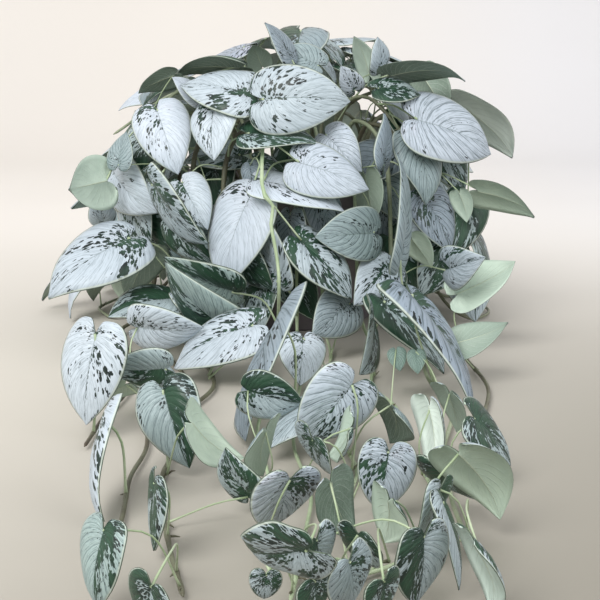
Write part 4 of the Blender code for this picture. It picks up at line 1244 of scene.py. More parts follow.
def plan_plant():
    """Every leaf, in the order in which they find room."""
    draw = random.Random(SEED)
    stems = {vine.name: stem_route(vine) for vine in VINES}
    others = [pot_shell()]
    for vine, route in stems.items():
        others.append(placed(vine, "stem", *tube_shell(route[1:], STEM_RADIUS + ROOM)))
    nodes = stem_nodes(stems)
    grown = top_leaves(draw, nodes, others)
    for group, slides in ((LOW_LEAVES, LIFTS), (MOUND_LEAVES, SLIDES)):
        for place in sorted(group, key=lambda one: one.layer):
            sheet = SEEN_SHEET if place.width > SMALL_WIDTH else PLAIN_SHEET
            shapes = [leaf_shape(draw, sheet) for _ in range(SHAPES_TRIED)]
            tries = [leaf_from_view(place, slide * SLIDE, shape) for slide in slides for shape in shapes]
            grown.append(try_leaves(place, tries, nodes, others))
    grown += fill_leaves(draw, nodes, others)
    grown += side_leaves(draw, nodes, others)
    grown += ground_leaves(draw, nodes, others)
    grown += hidden_leaves(draw, nodes, others)
    return grown


grown_leaves = plan_plant()
print("leaves planned:", sum(bool(one) for one in grown_leaves), "of", len(grown_leaves))

# %% [markdown]
# ## Compare the plan with the plain solids
#
# A fine leaf must grow where its plain solid stands, so the tip of each planned leaf is looked up
# in the solid of its vine. The distance should be less than a millimetre.

# %% Compare the plan with the plain solids
def furthest_stray():
    """How far the tip of any planned leaf is from its vine's plain solid."""
    strays = []
    for vine, solid in ((vine.name, frame["nodes"][vine.name]) for vine in VINES):
        tree = BVHTree.FromPolygons([vert.co for vert in solid.data.vertices],
                                    [face.vertices for face in solid.data.polygons])
        for one in grown_leaves:
            if one and one.vine == vine:
                strays.append(tree.find_nearest(one.leaf.tip)[3])
    return max(strays)


print("furthest tip from its plain solid, in mm:", round(furthest_stray() / MM, 2))

# %% [markdown]
# ## Writing shader sums as sums
#
# A leaf's markings are many small sums, which by hand would be a hundred boxes and wires. One small
# class wraps a socket instead, so that adding two of them with + adds a Math node. Any other node
# comes from its `node` method.

# %% A socket that can be added and multiplied
class Wire:
    """An output socket, with the usual signs for Math nodes."""

    def __init__(self, tree, socket=None):
        self.tree = tree
        self.socket = socket

    def node(self, kind, settings=None, values=None, output=0):
        """Add a node, set it up first and wire it next, and give back one of its outputs."""
        made = self.tree.nodes.new(kind)
        for name, value in (settings or {}).items():
            setattr(made, name, value)
        for name, value in (values or {}).items():
            if isinstance(value, Wire):
                self.tree.links.new(value.socket, made.inputs[name])
            else:
                made.inputs[name].default_value = value
        return Wire(self.tree, made.outputs[output])

    def math(self, operation, *others):
        values = dict(enumerate((self,) + others))
        return self.node("ShaderNodeMath", {"operation": operation}, values)

    def __add__(self, other):
        return self.math("ADD", other)

    def __sub__(self, other):
        return self.math("SUBTRACT", other)

    def __mul__(self, other):
        return self.math("MULTIPLY", other)

    def __rsub__(self, other):
        return self.node("ShaderNodeMath", {"operation": "SUBTRACT"}, {0: other, 1: self})

    __radd__ = __add__
    __rmul__ = __mul__

    def rise(self, low, high):
        """0 below low, 1 above high, and a soft step between them."""
        values = {"Value": self, "From Min": low, "From Max": high}
        return self.node("ShaderNodeMapRange", {"interpolation_type": "SMOOTHSTEP"}, values)

    def mix(self, start, end):
        """From the start colour to the end colour as this goes from 0 to 1."""
        values = {0: self, 6: start, 7: end}
        return self.node("ShaderNodeMix", {"data_type": "RGBA"}, values, output=2)

    def parts(self):
        """The three numbers of a vector."""
        split = self.node("ShaderNodeSeparateXYZ", values={0: self}).socket.node
        return [Wire(self.tree, split.outputs[axis]) for axis in range(3)]

    def vector(self, *numbers):
        return self.node("ShaderNodeCombineXYZ", values=dict(enumerate(numbers)))

    def noise(self, place, scale, detail=2.0, roughness=0.5):
        values = {"Vector": place, "Scale": scale, "Detail": detail, "Roughness": roughness}
        return self.node("ShaderNodeTexNoise", values=values)

    def bump(self, height, distance, strength=1.0):
        values = {"Height": height, "Distance": distance, "Strength": strength}
        return self.node("ShaderNodeBump", values=values)


print("a wire knows:", [name for name in vars(Wire) if not name.startswith("__")])

# %% [markdown]
# ## Colours and finishes
#
# Colours are easiest to name as they look on a screen, but a shader counts in linear light, so one
# helper turns them over. Another starts a finish, whose colour, roughness and bump are then plugged
# in.

# %% Colours and finishes
def shade(red, green, blue):
    """A colour given as it looks on a screen, from 0 to 255."""
    linear = [((part / 255 + 0.055) / 1.055) ** 2.4 if part > 10 else part / 3294.6
              for part in (red, green, blue)]
    return (*linear, 1.0)


def finish(name, **numbers):
    """A new material: its first wire, and a way to plug its surface."""
    material = bpy.data.materials.new(name)
    material.use_nodes = True
    surface = material.node_tree.nodes["Principled BSDF"]
    for socket, value in numbers.items():
        surface.inputs[socket.replace("_", " ")].default_value = value
    return material, Wire(material.node_tree), surface.inputs


def plug(wire, inputs, name):
    """Wire a value into one of a surface's inputs."""
    wire.tree.links.new(wire.socket, inputs[name])


print("a middle grey on the screen is, in linear light:", round(shade(128, 128, 128)[0], 3))

# %% [markdown]
# ## The upper face
#
# Each leaf is dark green, and a film of air under its skin makes most of it look silver. The green
# is left in small dashes along the side veins, in blotches by the midrib, and in some leaves over a
# whole half. Painting two hundred leaves would need images. Instead one material lays noise out in
# the leaf's own vein coordinates, and each leaf carries a few numbers that say how much green is
# left.
#
# The vein map gives 0 at the midrib and 1 at the edge, and 0 at the notch and 1 at the tip. Along a
# side vein `swept` stays the same.

# %% The leaf's map and its own numbers
SWEEP_POWER, SWEEP = 1.25, 0.22
SEED_SPREAD = 41
silver_leaf, wire, inputs = finish("silver_leaf", Roughness=0.44, IOR=1.42)
across, along, _ = wire.node("ShaderNodeUVMap", {"uv_map": "vein"}).parts()
marks = wire.node("ShaderNodeAttribute", {"attribute_name": "marks"}, output=1)
tints_and_painted_light = wire.node("ShaderNodeAttribute", {"attribute_name": "tints_and_painted_light"}, output=1)
backs = wire.node("ShaderNodeAttribute", {"attribute_name": "backs"}, output=1)
green_left, green_right, band = marks.parts()
tone, light, seed = tints_and_painted_light.parts()
vein_depth = backs.parts()[2]
out = across.math("ABSOLUTE")
right = across.math("GREATER_THAN", 0)
shift = seed * SEED_SPREAD
swept = along - out.math("POWER", SWEEP_POWER) * SWEEP
print("layers that the silver reads: marks, tints, backs")

# %% [markdown]
# ## Dashes, blotches and veins
#
# Noise stretched across the leaf gives dashes along the side veins, and cells give them crisp ends.
# Where the sum is higher than the leaf's green number allows, the green shows. A wave along `swept`
# draws a dozen side veins with finer threads between them, and clouds bend it, so that no vein is a
# ruled line.

# %% Dashes, blotches and veins
DASH_LEVEL, DASH_GAIN = 0.748, 0.46
SIDE_VEINS, THREADS = 12, 48
clouds = wire.noise(wire.vector(across * 1.5 + shift, swept * 3.4, shift), 1, 2.0, 0.5)
patches = wire.noise(wire.vector(across * 5.2 + shift, swept * 17, shift), 1, 3.0, 0.55)
flecks = wire.noise(wire.vector(across * 14 + shift, swept * 52, shift), 1, 2.0, 0.5)
streaks = wire.noise(wire.vector(across * 4.5 + shift, swept * 62, shift + 3), 1, 3.0, 0.65)
cell_place = wire.vector(across * 8.0 + shift + flecks * 0.7, swept * 29 + flecks * 1.5, shift)
cells = wire.node("ShaderNodeTexVoronoi", values={"Vector": cell_place, "Scale": 1.0})

green = green_left + right * (green_right - green_left)
near_midrib = 1 - out.rise(0.03, 0.36)
green = green + band * near_midrib + (clouds.rise(0.38, 0.60) - 0.78) * 0.50
green = green - along.rise(0.30, 0.85) * 0.20 + (1 - along.rise(0.0, 0.35)) * 0.12
pattern = patches * 0.46 + flecks * 0.12 + (1 - cells) * 0.42
left_green = (pattern - (DASH_LEVEL - green * DASH_GAIN)).rise(-0.006, 0.008)

vein = (swept * SIDE_VEINS + clouds * 0.9).math("PINGPONG", 0.5) * 2
thread = (swept * THREADS + clouds * 1.4).math("PINGPONG", 0.5) * 2
ends = 1 - out.rise(0.86, 1.0)
vein_line = vein.rise(0.92 - vein_depth * 0.16, 1.0) * ends
thread_line = thread.rise(0.30, 1.0) * streaks.rise(0.42, 0.62) * ends
midrib_line = 1 - out.rise(0.008, 0.036)
print("side veins on each half:", SIDE_VEINS)

# %% [markdown]
# ## Colours of the upper face
#
# The silver is lilac-white in full light and grey-green on some leaves. Threads and veins darken
# it, and a pale line and then a dark one follow the edge. The face is satin, a little rougher where
# it is silver, and puffed up between the veins.

# %% Colours of the upper face
OLD_GREEN, YOUNG_GREEN, DEEPEST = shade(22, 42, 36), shade(44, 74, 56), shade(22, 32, 33)
# Painted light: each leaf's light number moves its silver from a dim lilac and sage, a painted shade, to
# the lit ones; it is partly the leaf's own tone and partly painted light for how lit the leaf stands.
lilac = light.mix(shade(135, 147, 164), shade(201, 210, 223))
lilac = (clouds.rise(0.45, 0.70) * (1 - along.rise(0.1, 0.8)) * 0.30).mix(lilac, shade(212, 206, 222))
sage = light.mix(shade(98, 126, 114), shade(168, 190, 182))
silver = tone.mix(lilac, sage)
silver = (streaks.rise(0.46, 0.72) * (0.26 + vein_depth * 0.38)).mix(silver, shade(106, 120, 126))
silver = (thread_line * (0.16 + vein_depth * 0.46)).mix(silver, shade(72, 88, 92))
silver = (vein_line * (0.22 + vein_depth * 0.62)).mix(silver, shade(54, 70, 74))
full = clouds.rise(0.35, 0.65).mix(OLD_GREEN, YOUNG_GREEN)
deep = green.rise(0.40, 0.80).mix(DEEPEST, full)
deep = (vein_line * 0.22 + streaks.rise(0.5, 0.7) * 0.10).mix(deep, shade(96, 124, 106))
face = left_green.mix(silver, deep)
face = (midrib_line * 0.35).mix(face, shade(98, 120, 108))
face = (out.rise(0.945, 0.970) * 0.75).mix(face, shade(196, 206, 194))
face = (out.rise(0.980, 0.994) * 0.9).mix(face, shade(60, 74, 66))
plug(face, inputs, "Base Color")
plug(0.43 + left_green * -0.07 + (streaks - 0.5) * 0.2, inputs, "Roughness")
quilt = 1 - vein.rise(0.15, 1.0)
relief = quilt * 0.30 + (1 - midrib_line) * 0.6 + (1 - thread_line) * 0.10 + patches * 0.9
plug(wire.bump(relief, 0.0009, 0.7), inputs, "Normal")
print("nodes of the silver finish:", len(wire.tree.nodes))

# %% [markdown]
# ## The underside
#
# Underneath there is no film of air, so the face is a plain pale green with the veins standing out.
# The same vein map draws them, and each leaf's own numbers make it sage, mint or darker.

# %% Leaf underside
leaf_underside, wire, inputs = finish("leaf_underside", Roughness=0.6)
across, along, _ = wire.node("ShaderNodeUVMap", {"uv_map": "vein"}).parts()
seed = wire.node("ShaderNodeAttribute", {"attribute_name": "tints_and_painted_light"}, output=1).parts()[2]
back = wire.node("ShaderNodeAttribute", {"attribute_name": "backs"}, output=1)
depth, mint, _ = back.parts()
out = across.math("ABSOLUTE")
shift = seed * SEED_SPREAD
clouds = wire.noise(wire.vector(across * 2 + shift, along * 4, shift), 1, 2.0)
grain = wire.noise(wire.vector(across * 22 + shift, along * 60, shift), 1, 2.0)
swept = along - out.math("POWER", SWEEP_POWER) * SWEEP
vein = (swept * SIDE_VEINS + clouds * 0.5).math("PINGPONG", 0.5) * 2
vein_line = vein.rise(0.80, 1.0) * (1 - out.rise(0.7, 1.0))
midrib_line = 1 - out.rise(0.015, 0.07)
pale = mint.mix(shade(202, 220, 198), shade(204, 221, 212))
# Painted light: a mint number above 1 lifts an underside to near white, as light shining through the blade
# would.
pale = mint.rise(1.0, 2.0).mix(pale, shade(238, 250, 242))
dark = mint.mix(shade(90, 108, 96), shade(126, 146, 137))
face = depth.mix(pale, dark)
face = (clouds.rise(0.3, 0.7) * 0.30).mix(face, shade(140, 162, 148))
face = (grain.rise(0.35, 0.7) * 0.14).mix(face, shade(206, 218, 210))
face = (vein_line * 0.34).mix(face, shade(204, 218, 208))
face = (midrib_line * 0.7).mix(face, shade(204, 214, 188))
plug(face, inputs, "Base Color")
plug(0.55 + (grain - 0.5) * 0.2, inputs, "Roughness")
plug(wire.bump(vein_line * 0.5 + midrib_line + grain * 0.2, 0.0006, 0.7), inputs, "Normal")
print("nodes of the underside:", len(wire.tree.nodes))

# %% [markdown]
# ## Leaf edge, stems and stalks
#
# The edge of a blade is dull green, young stalks are pale green, and old stems are brownish with
# small dry freckles. Noise in the object's own space is enough for them, because a stem is only
# five millimetres thick.

# %% Edge and stems
leaf_edge, wire, inputs = finish("leaf_edge", Roughness=0.5)
spot = wire.node("ShaderNodeTexCoord", output=3)
worn = wire.noise(spot, 90, 2.0)
plug(worn.rise(0.5, 0.75).mix(shade(84, 98, 82), shade(56, 70, 56)), inputs, "Base Color")

vine_bark, wire, inputs = finish("vine_bark", Roughness=0.55)
spot = wire.node("ShaderNodeTexCoord", output=3)
age = wire.node("ShaderNodeAttribute", {"attribute_name": "backs"}, output=1).parts()[2]
broad = wire.noise(spot, 38, 3.0, 0.6)
fine = wire.noise(spot, 420, 2.0, 0.6)
young = broad.rise(0.35, 0.7).mix(shade(186, 200, 168), shade(158, 178, 140))
old = broad.rise(0.35, 0.7).mix(shade(104, 104, 84), shade(76, 66, 54))
bark = age.mix(young, old)
bark = (fine.rise(0.62, 0.72) * (0.10 + age * 0.6)).mix(bark, shade(86, 66, 44))
plug(bark, inputs, "Base Color")
plug(0.5 + (fine - 0.5) * 0.3, inputs, "Roughness")
plug(wire.bump(fine * 0.5 + broad, 0.0008, 0.6), inputs, "Normal")
print("nodes of the bark:", len(wire.tree.nodes))

# %% [markdown]
# ## Pot clay and potting soil
#
# The pot shows only between the leaves: a matte, grey-mauve wall. Fired clay is never one flat
# colour, so it gets faint clouds, a speckle and a slightly rubbed rim. Potting soil is dark brown
# with pale grains. Modelling each grain would be wasted under the leaves, so most of it is colour
# and bump.

# %% Pot clay and potting soil
RUBBED_FROM, RUBBED_TO = 0.1462, 0.1498
pot_clay, wire, inputs = finish("pot_clay", Roughness=0.62)
spot = wire.node("ShaderNodeTexCoord", output=3)
height = spot.parts()[2]
broad = wire.noise(spot, 14, 3.0, 0.55)
speck = wire.noise(spot, 520, 2.0, 0.6)
rings = wire.noise(wire.vector(0, 0, height * 260), 1, 2.0, 0.6)
clay = broad.rise(0.3, 0.72).mix(shade(104, 98, 103), shade(124, 117, 121))
clay = (speck.rise(0.62, 0.74) * 0.35).mix(clay, shade(82, 76, 80))
clay = (height.rise(RUBBED_FROM, RUBBED_TO) * broad.rise(0.4, 0.6) * 0.4).mix(clay, shade(146, 138, 140))
plug(clay, inputs, "Base Color")
plug(0.56 + (broad - 0.5) * 0.2 + (speck - 0.5) * 0.1, inputs, "Roughness")
plug(wire.bump(rings * 0.6 + speck * 0.25, 0.0006, 0.5), inputs, "Normal")

potting_soil, wire, inputs = finish("potting_soil", Roughness=0.95)
spot = wire.node("ShaderNodeTexCoord", output=3)
crumb = wire.noise(spot, 160, 4.0, 0.7)
fibre = wire.noise(spot, 46, 2.0, 0.5)
grain = wire.node("ShaderNodeTexVoronoi", values={"Vector": spot, "Scale": 150})
earth = crumb.rise(0.35, 0.7).mix(shade(38, 29, 23), shade(82, 62, 46))
earth = (fibre.rise(0.6, 0.72) * 0.5).mix(earth, shade(112, 84, 58))
pale_grains = (1 - grain.rise(0.08, 0.16)).math("MULTIPLY", crumb.rise(0.55, 0.6))
earth = pale_grains.mix(earth, shade(196, 188, 172))
plug(earth, inputs, "Base Color")
plug(0.88 + (crumb - 0.5) * 0.2, inputs, "Roughness")
plug(wire.bump(crumb, 0.003, 0.9), inputs, "Normal")
print("finishes so far:", [one.name for one in bpy.data.materials])

# %% [markdown]
# ## How each leaf is marked
#
# No two leaves carry the same markings, but they fall into kinds: nearly plain silver, silver with
# dashes, dark green with silver patches, and so on. A material for each would repeat the same
# nodes, so each kind is a few numbers for the one material.

# %% Kinds of marking
# Each kind's light number is partly the leaf's own tone and partly painted light: it is low, as painted
# shade, in kinds such as grey and shadow that leaves in shade get.
Look = namedtuple("Look", "green band tone light veins")
LOOKS = {
    "plain": Look(0.05, 0.0, 0.10, 0.95, 0.10),
    "white": Look(0.38, 0.06, 0.12, 0.90, 0.20),
    "silver": Look(0.46, 0.12, 0.30, 0.72, 0.35),
    "veined": Look(0.32, 0.15, 0.45, 0.42, 1.0),
    "teal": Look(0.30, 0.06, 0.55, 0.40, 0.9),
    "moss": Look(0.16, 0.05, 1.0, 0.30, 0.9),
    "lilac": Look(0.28, 0.10, 0.0, 0.46, 1.0),
    "lined": Look(0.24, 0.05, 0.12, 0.76, 0.8),
    "striped": Look(0.60, 0.10, 0.15, 0.12, 1.0),
    "grey": Look(0.40, 0.15, 0.25, 0.20, 0.9),
    "speckled": Look(0.58, 0.14, 0.12, 0.82, 0.20),
    "streaked": Look(0.60, 0.25, 0.30, 0.64, 0.5),
    "mottled": Look(0.72, 0.15, 0.40, 0.66, 0.4),
    "green": Look(0.88, 0.15, 0.55, 0.64, 0.4),
    "dark": Look(1.04, 0.1, 0.60, 0.55, 0.4),
    "banded": Look(0.62, 0.62, 0.30, 0.66, 0.5),
    "shadow": Look(1.15, 0.0, 0.60, 0.20, 0.5),
}
Back = namedtuple("Back", "depth mint")
# One kind of underside, with a mint number of 2, is painted light for undersides that face away from the
# lamps.
BACKS = {"sage": Back(0.25, 0.1), "mint": Back(0.0, 1.0), "pale": Back(0.05, 0.45),
         "dull": Back(0.6, 0.25), "deep": Back(0.95, 0.1), "painted_backlight": Back(0.0, 2.0)}
DRAWN_LOOKS = ("white", "silver", "silver", "veined", "veined", "teal", "teal", "lilac", "lilac", "grey",
               "speckled", "streaked", "streaked", "mottled", "green", "green", "dark", "banded")
# Darker kinds for leaves inside the mound: painted shade, as the mound shades them.
PAINTED_SHADE_LOOKS = ("dark", "green", "shadow", "shadow", "grey", "teal", "green", "mottled")
print("kinds of marking:", len(LOOKS), "and of underside:", len(BACKS))

# %% [markdown]
# ## The markings of the leaves that show
#
# Leaves that show get the kind that they have on the plant, some with two unlike halves; a leaf that
# stands in shade gets a dim kind, as painted shade. Each is told by the place of its notch, with the
# kinds of its left and right half.

# %% The leaves that show
SHOWN_LOOKS = {
    (251, 93): ("speckled", "mottled"), (157, 110): ("speckled", "plain"),
    (214, 102): ("streaked", "plain"), (263, 99): ("silver", "silver"),
    (249, 133): ("dark", "green"), (326, 135): ("lined", "lined"),
    (299, 162): ("white", "lined"), (264, 180): ("plain", "white"), (374, 233): ("teal", "teal"),
    (301, 240): ("mottled", "banded"), (391, 265): ("speckled", "streaked"),
    (417, 119): ("lined", "lined"), (378, 88): ("green", "dark"), (388, 98): ("plain", "plain"),
    (400, 115): ("shadow", "dark"),
    (355, 90): ("speckled", "speckled"), (380, 70): ("silver", "silver"),
    (424, 195): ("striped", "striped"),
    (445, 270): ("mottled", "lined"), (410, 226): ("silver", "silver"), (318, 65): ("teal", "teal"),
    (292, 60): ("grey", "grey"), (200, 98): ("plain", "plain"), (118, 165): ("teal", "teal"),
    (110, 170): ("white", "silver"), (104, 222): ("silver", "silver"), (128, 238): ("silver", "speckled"),
    (152, 185): ("mottled", "streaked"), (172, 222): ("dark", "green"), (232, 292): ("green", "moss"),
    (221, 326): ("green", "moss"), (182, 183): ("streaked", "plain"), (240, 155): ("mottled", "green"),
    (250, 195): ("white", "plain"), (277, 281): ("silver", "streaked"), (290, 215): ("grey", "grey"),
    (250, 165): ("grey", "grey"), (255, 160): ("green", "mottled"), (214, 212): ("silver", "silver"),
    (262, 285): ("green", "mottled"), (165, 369): ("teal", "green"), (252, 325): ("streaked", "white"),
    (137, 328): ("silver", "lined"), (175, 297): ("dark", "silver"), (303, 338): ("streaked", "white"),
    (385, 301): ("dark", "green"), (396, 350): ("moss", "moss"), (416, 352): ("moss", "moss"),
    (350, 303): ("veined", "grey"), (412, 294): ("striped", "striped"), (279, 318): ("grey", "grey"),
    (372, 317): ("streaked", "dark"), (317, 540): ("green", "silver"), (440, 490): ("grey", "green"),
    (358, 535): ("dark", "green"), (103, 530): ("moss", "green"), (151, 587): ("dark", "green"),
    (154, 483): ("green", "green"), (315, 582): ("dark", "dark"), (350, 562): ("teal", "streaked"),
    (384, 582): ("dark", "dark"), (425, 537): ("dark", "grey"), (266, 575): ("mottled", "mottled"),
    (306, 551): ("green", "streaked"), (443, 502): ("grey", "dark"), (290, 480): ("lilac", "streaked"),
    (248, 497): ("mottled", "green"), (389, 452): ("mottled", "lilac"), (440, 470): ("dark", "dark"),
    (475, 418): ("dark", "green"), (248, 391): ("dark", "streaked"), (352, 385): ("lilac", "streaked"),
    (312, 440): ("streaked", "streaked"), (163, 390): ("teal", "dark"), (104, 418): ("speckled", "silver"),
    (95, 334): ("white", "silver"), (400, 260): ("veined", "veined"), (384, 165): ("grey", "grey"),
    (313, 48): ("silver", "silver"), (154, 92): ("plain", "plain"),
}
SHOWN_BACKS = {
    (431, 406): "painted_backlight", (476, 542): "mint", (454, 345): "dull", (453, 99): "painted_backlight", (106, 181): "pale",
    (460, 452): "sage", (330, 482): "deep", (391, 405): "deep", (391, 74): "deep", (240, 66): "deep",
    (174, 74): "deep", (458, 295): "pale", (479, 190): "sage", (390, 500): "pale", (450, 393): "dull",
}
# These take their markings from another stretch of the noise
SHIFTED = {
    (157, 110): 0.5, (251, 93): 0.5, (214, 102): 0.75, (128, 238): 0.75, (95, 334): 0.75, (299, 162): 0.75,
    (326, 135): 0.25, (137, 328): 0.75, (301, 240): 0.5, (252, 325): 0.25, (163, 390): 0.75,
    (352, 385): 0.25, (248, 391): 0.25, (306, 551): 0.25, (412, 294): 0.25, (445, 270): 0.5,
    (103, 530): 0.5, (221, 326): 0.5, (232, 292): 0.5,
}
print("leaves with markings of their own:", len(SHOWN_LOOKS) + len(SHOWN_BACKS))

# %% [markdown]
# ## A finely made blade
#
# The real blade is a smooth, leathery heart: it arches from notch to tip, swells between the side
# veins, waves and rolls at its edge, and hooks down at the tip. It could be sculpted once and
# copied, but then all leaves would be alike. A formula bends each one its own way, inside the
# outline of its plain solid.

# %% The heart, bent
CREASE = 0.035
FAN_CURVE = 0.06
SWELLS = 5
CURL_FROM, CURL_LENGTH = 0.7, 0.3
Waves = namedtuple("Waves", "size count left right swell puff hook roll")


def drawn_waves(draw):
    """How one blade waves, swells, hooks and rolls."""
    return Waves(size=draw.uniform(0.008, 0.030), count=draw.uniform(0.8, 2.0),
                 left=draw.uniform(0, 6.3), right=draw.uniform(0, 6.3),
                 swell=draw.uniform(0.0015, 0.0035), puff=draw.uniform(0.030, 0.062),
                 hook=draw.uniform(0.0, 0.08), roll=draw.uniform(0.0, 0.035))


def heart_place(side, out, row):
    """A place of the flat heart on one of the lines that fan along the side veins."""
    half, along = edge_place(row)
    middle = row ** MIDRIB_POWER
    curve = FAN_CURVE * math.sin(math.pi * out) * (1 - row)
    return side * half * out, middle + (along - middle) * out - curve


def bent(leaf, axes, waves, side, out, row):
    """The point of a finely bent blade, on the middle of its thickness."""
    across, along, up = axes
    x, y = heart_place(side, out, row)
    length = (leaf.tip - leaf.base).length
    turn = leaf.twist * y
    crease = math.sqrt(x * x + CREASE ** 2) - CREASE
    phase = waves.right if side > 0 else waves.left
    wave = math.sin(math.tau * waves.count * row + phase)
    edge_wave = waves.size * out ** 2 * wave * math.sin(math.pi * row)
    swell = waves.swell * math.sin(math.pi * out) * math.cos(math.tau * SWELLS * row)
    puff = waves.puff * (math.sin(math.pi * out) - 0.5) * math.sin(math.pi * min(1, row + 0.12))
    hook = waves.hook * max(0, (y - CURL_FROM) / CURL_LENGTH) ** 2
    roll = waves.roll * max(0, (out - CURL_FROM) / CURL_LENGTH) ** 2
    lift = crease * leaf.fold * leaf.width
    lift += (4 * leaf.bow * y * (1 - y) + edge_wave + swell + puff - hook - roll) * length
    half = x * leaf.width / SHEET_WIDTH
    sideways = across * (half * math.cos(turn)) + up * (half * math.sin(turn))
    return leaf.base + along * (y * length) + sideways + up * lift


print("one blade's waves:", drawn_waves(random.Random(1)))

# %% [markdown]
# ## One blade as a closed sheet
#
# A grid gives the points, with rows fanned along the side veins, so one map serves the shape and
# the markings. Extruding it gives a thickness, and the midrib is pulled down below. A Solidify
# modifier couldn't make that rib.

# %% One blade
UPPER, UNDER, EDGE, BARK = range(4)
ROWS_SHOWN, HALF_SHOWN = 20, 8
ROWS_PLAIN, HALF_PLAIN = 13, 5
THICK, THIN = 0.75 * MM, 0.35 * MM
RIB_DEPTH, RIB_WIDTH = 0.9 * MM, 0.05
REST_UNDER, REST_UPPER = 0.15 * MM, 0.75 * MM
TOWARDS_EDGE = 1.3
SAME_PLACE = 0.00002


def tell_faces_apart(blade, lower):
    """Give the upper face, the underside and the rim a finish of their own."""
    for face in blade.faces:
        below = sum(vert in lower for vert in face.verts)
        face.material_index = UPPER if below == 0 else UNDER if below == len(face.verts) else EDGE
        face.smooth = True


def bend_vert(vert, under, leaf, axes, waves):
    """Move a point of the grid to its place on the blade. A tip that reaches the surface lies on it."""
    u, row = vert.co.x, (vert.co.y + 1) / 2
    out = abs(u) ** TOWARDS_EDGE
    point = bent(leaf, axes, waves, 1 if u > 0 else -1, out, row)
    depth = (THICK + (THIN - THICK) * out ** 3) / 2
    if under:
        rib = RIB_DEPTH * math.exp(-(out / RIB_WIDTH) ** 2) * (1 - row) ** 0.7
        vert.co = point - axes[2] * (depth + rib)
    else:
        vert.co = point + axes[2] * depth
    vert.co.z = max(vert.co.z, REST_UNDER if under else REST_UPPER)


def fine_blade(leaf, waves, rows, half):
    """A closed blade with a map along its veins."""
    axes = leaf_axes(leaf)
    blade = bmesh.new()
    vein = blade.loops.layers.uv.new("vein")
    bmesh.ops.create_grid(blade, x_segments=2 * half, y_segments=rows, size=1)
    grid = {vert: (vert.co.x, (vert.co.y + 1) / 2) for vert in blade.verts}
    for face in blade.faces:
        for loop in face.loops:
            loop[vein].uv = grid[loop.vert]
    upper = list(blade.faces)
    drawn_out = bmesh.ops.extrude_face_region(blade, geom=upper)["geom"]
    lower = {part for part in drawn_out if isinstance(part, bmesh.types.BMVert)}
    tell_faces_apart(blade, lower)
    for vert in blade.verts:
        bend_vert(vert, vert in lower, leaf, axes, waves)
    bmesh.ops.remove_doubles(blade, verts=blade.verts, dist=SAME_PLACE)
    bmesh.ops.recalc_face_normals(blade, faces=blade.faces)
    return blade


trial = fine_blade(trial_leaf, drawn_waves(random.Random(1)), ROWS_SHOWN, HALF_SHOWN)
print("faces of a blade that shows:", len(trial.faces))
trial.free()

# %% [markdown]
# ## Stems, stalks and root nubs
#
# A vine is round and tapers from root to tip, with a swollen node at each stalk. A curve with a
# bevel would give a plain tube. So a ring of points is extruded along the path instead, and turned
# and scaled at each step.

# %% A tube of changing width
def fine_tube(route, radii, sides):
    """A closed round tube through the points of a route, with a width for each."""
    tube = bmesh.new()
    heading = (route[1] - route[0]).normalized()
    turn = heading.to_track_quat("Z", "X").to_matrix().to_4x4()
    bmesh.ops.create_circle(tube, cap_ends=True, segments=sides, radius=radii[0],
                            matrix=Matrix.Translation(route[0]) @ turn)
    ring = list(tube.edges)
    for index in range(1, len(route)):
        after = route[min(index + 1, len(route) - 1)]
        ahead = (after - route[index - 1]).normalized()
        swing = heading.rotation_difference(ahead)
        drawn_out = bmesh.ops.extrude_edge_only(tube, edges=ring)["geom"]
        ring = [part for part in drawn_out if isinstance(part, bmesh.types.BMEdge)]
        scale = radii[index] / radii[index - 1]
        for vert in drawn_out:
            if isinstance(vert, bmesh.types.BMVert):
                vert.co = route[index] + swing @ (vert.co - route[index - 1]) * scale
        heading = ahead
    bmesh.ops.contextual_create(tube, geom=ring)
    bmesh.ops.recalc_face_normals(tube, faces=tube.faces)
    for face in tube.faces:
        face.material_index = BARK
        face.smooth = len(face.verts) == 4
    return tube


trial = fine_tube([Vector((0, 0, z * MM)) for z in (0, 10, 20)], [2 * MM, 3 * MM, MM], 8)
print("faces of a tube through three points:", len(trial.faces))
trial.free()

# %% [markdown]
# ## How thick, and where
#
# A stem swells a little at each stalk. A stalk is thick where it clasps the stem, thin in the
# middle, and widens under the blade. Here and there a dry root stub sits beside it.

# %% Stem, stalk and nub
STEM_SIDES, STALK_SIDES, NUB_SIDES = 10, 7, 6
STALK_STEP = 6 * MM
STEM_END, STEM_END_RADIUS = 5 * MM, 0.4 * MM
NUB_LENGTHS = (4.5, 8)
NUB_RADII = [0.9 * MM, 0.7 * MM, 0.25 * MM]
STALK_ROOT, STALK_MIDDLE, STALK_HEAD = 1.5 * MM, 0.9 * MM, 1.15 * MM
STALK_SLIMMEST, STALK_FULL = 0.58, 75 * MM
STEM_THINNEST = 0.62
NODE_SWELL, NODE_REACH = 0.32, 5 * MM


def stem_tube(route, nodes, slimness):
    """The stem through the smooth path, thinner to its end, and swollen at its nodes."""
    radii = []
    for index, point in enumerate(route):
        taper = 1 - (1 - STEM_THINNEST) * index / (len(route) - 1)
        near = min([(point - node).length for node in nodes], default=1)
        swollen = 1 + NODE_SWELL * math.exp(-(near / NODE_REACH) ** 2)
        radii.append(STEM_RADIUS * slimness * taper * swollen)
    for point, radius in zip(route, radii):
        point.z = max(point.z, radius + REST_UNDER)
    end = route[-1] + (route[-1] - route[-2]).normalized() * STEM_END
    return fine_tube(route + [end], radii + [STEM_END_RADIUS], STEM_SIDES)


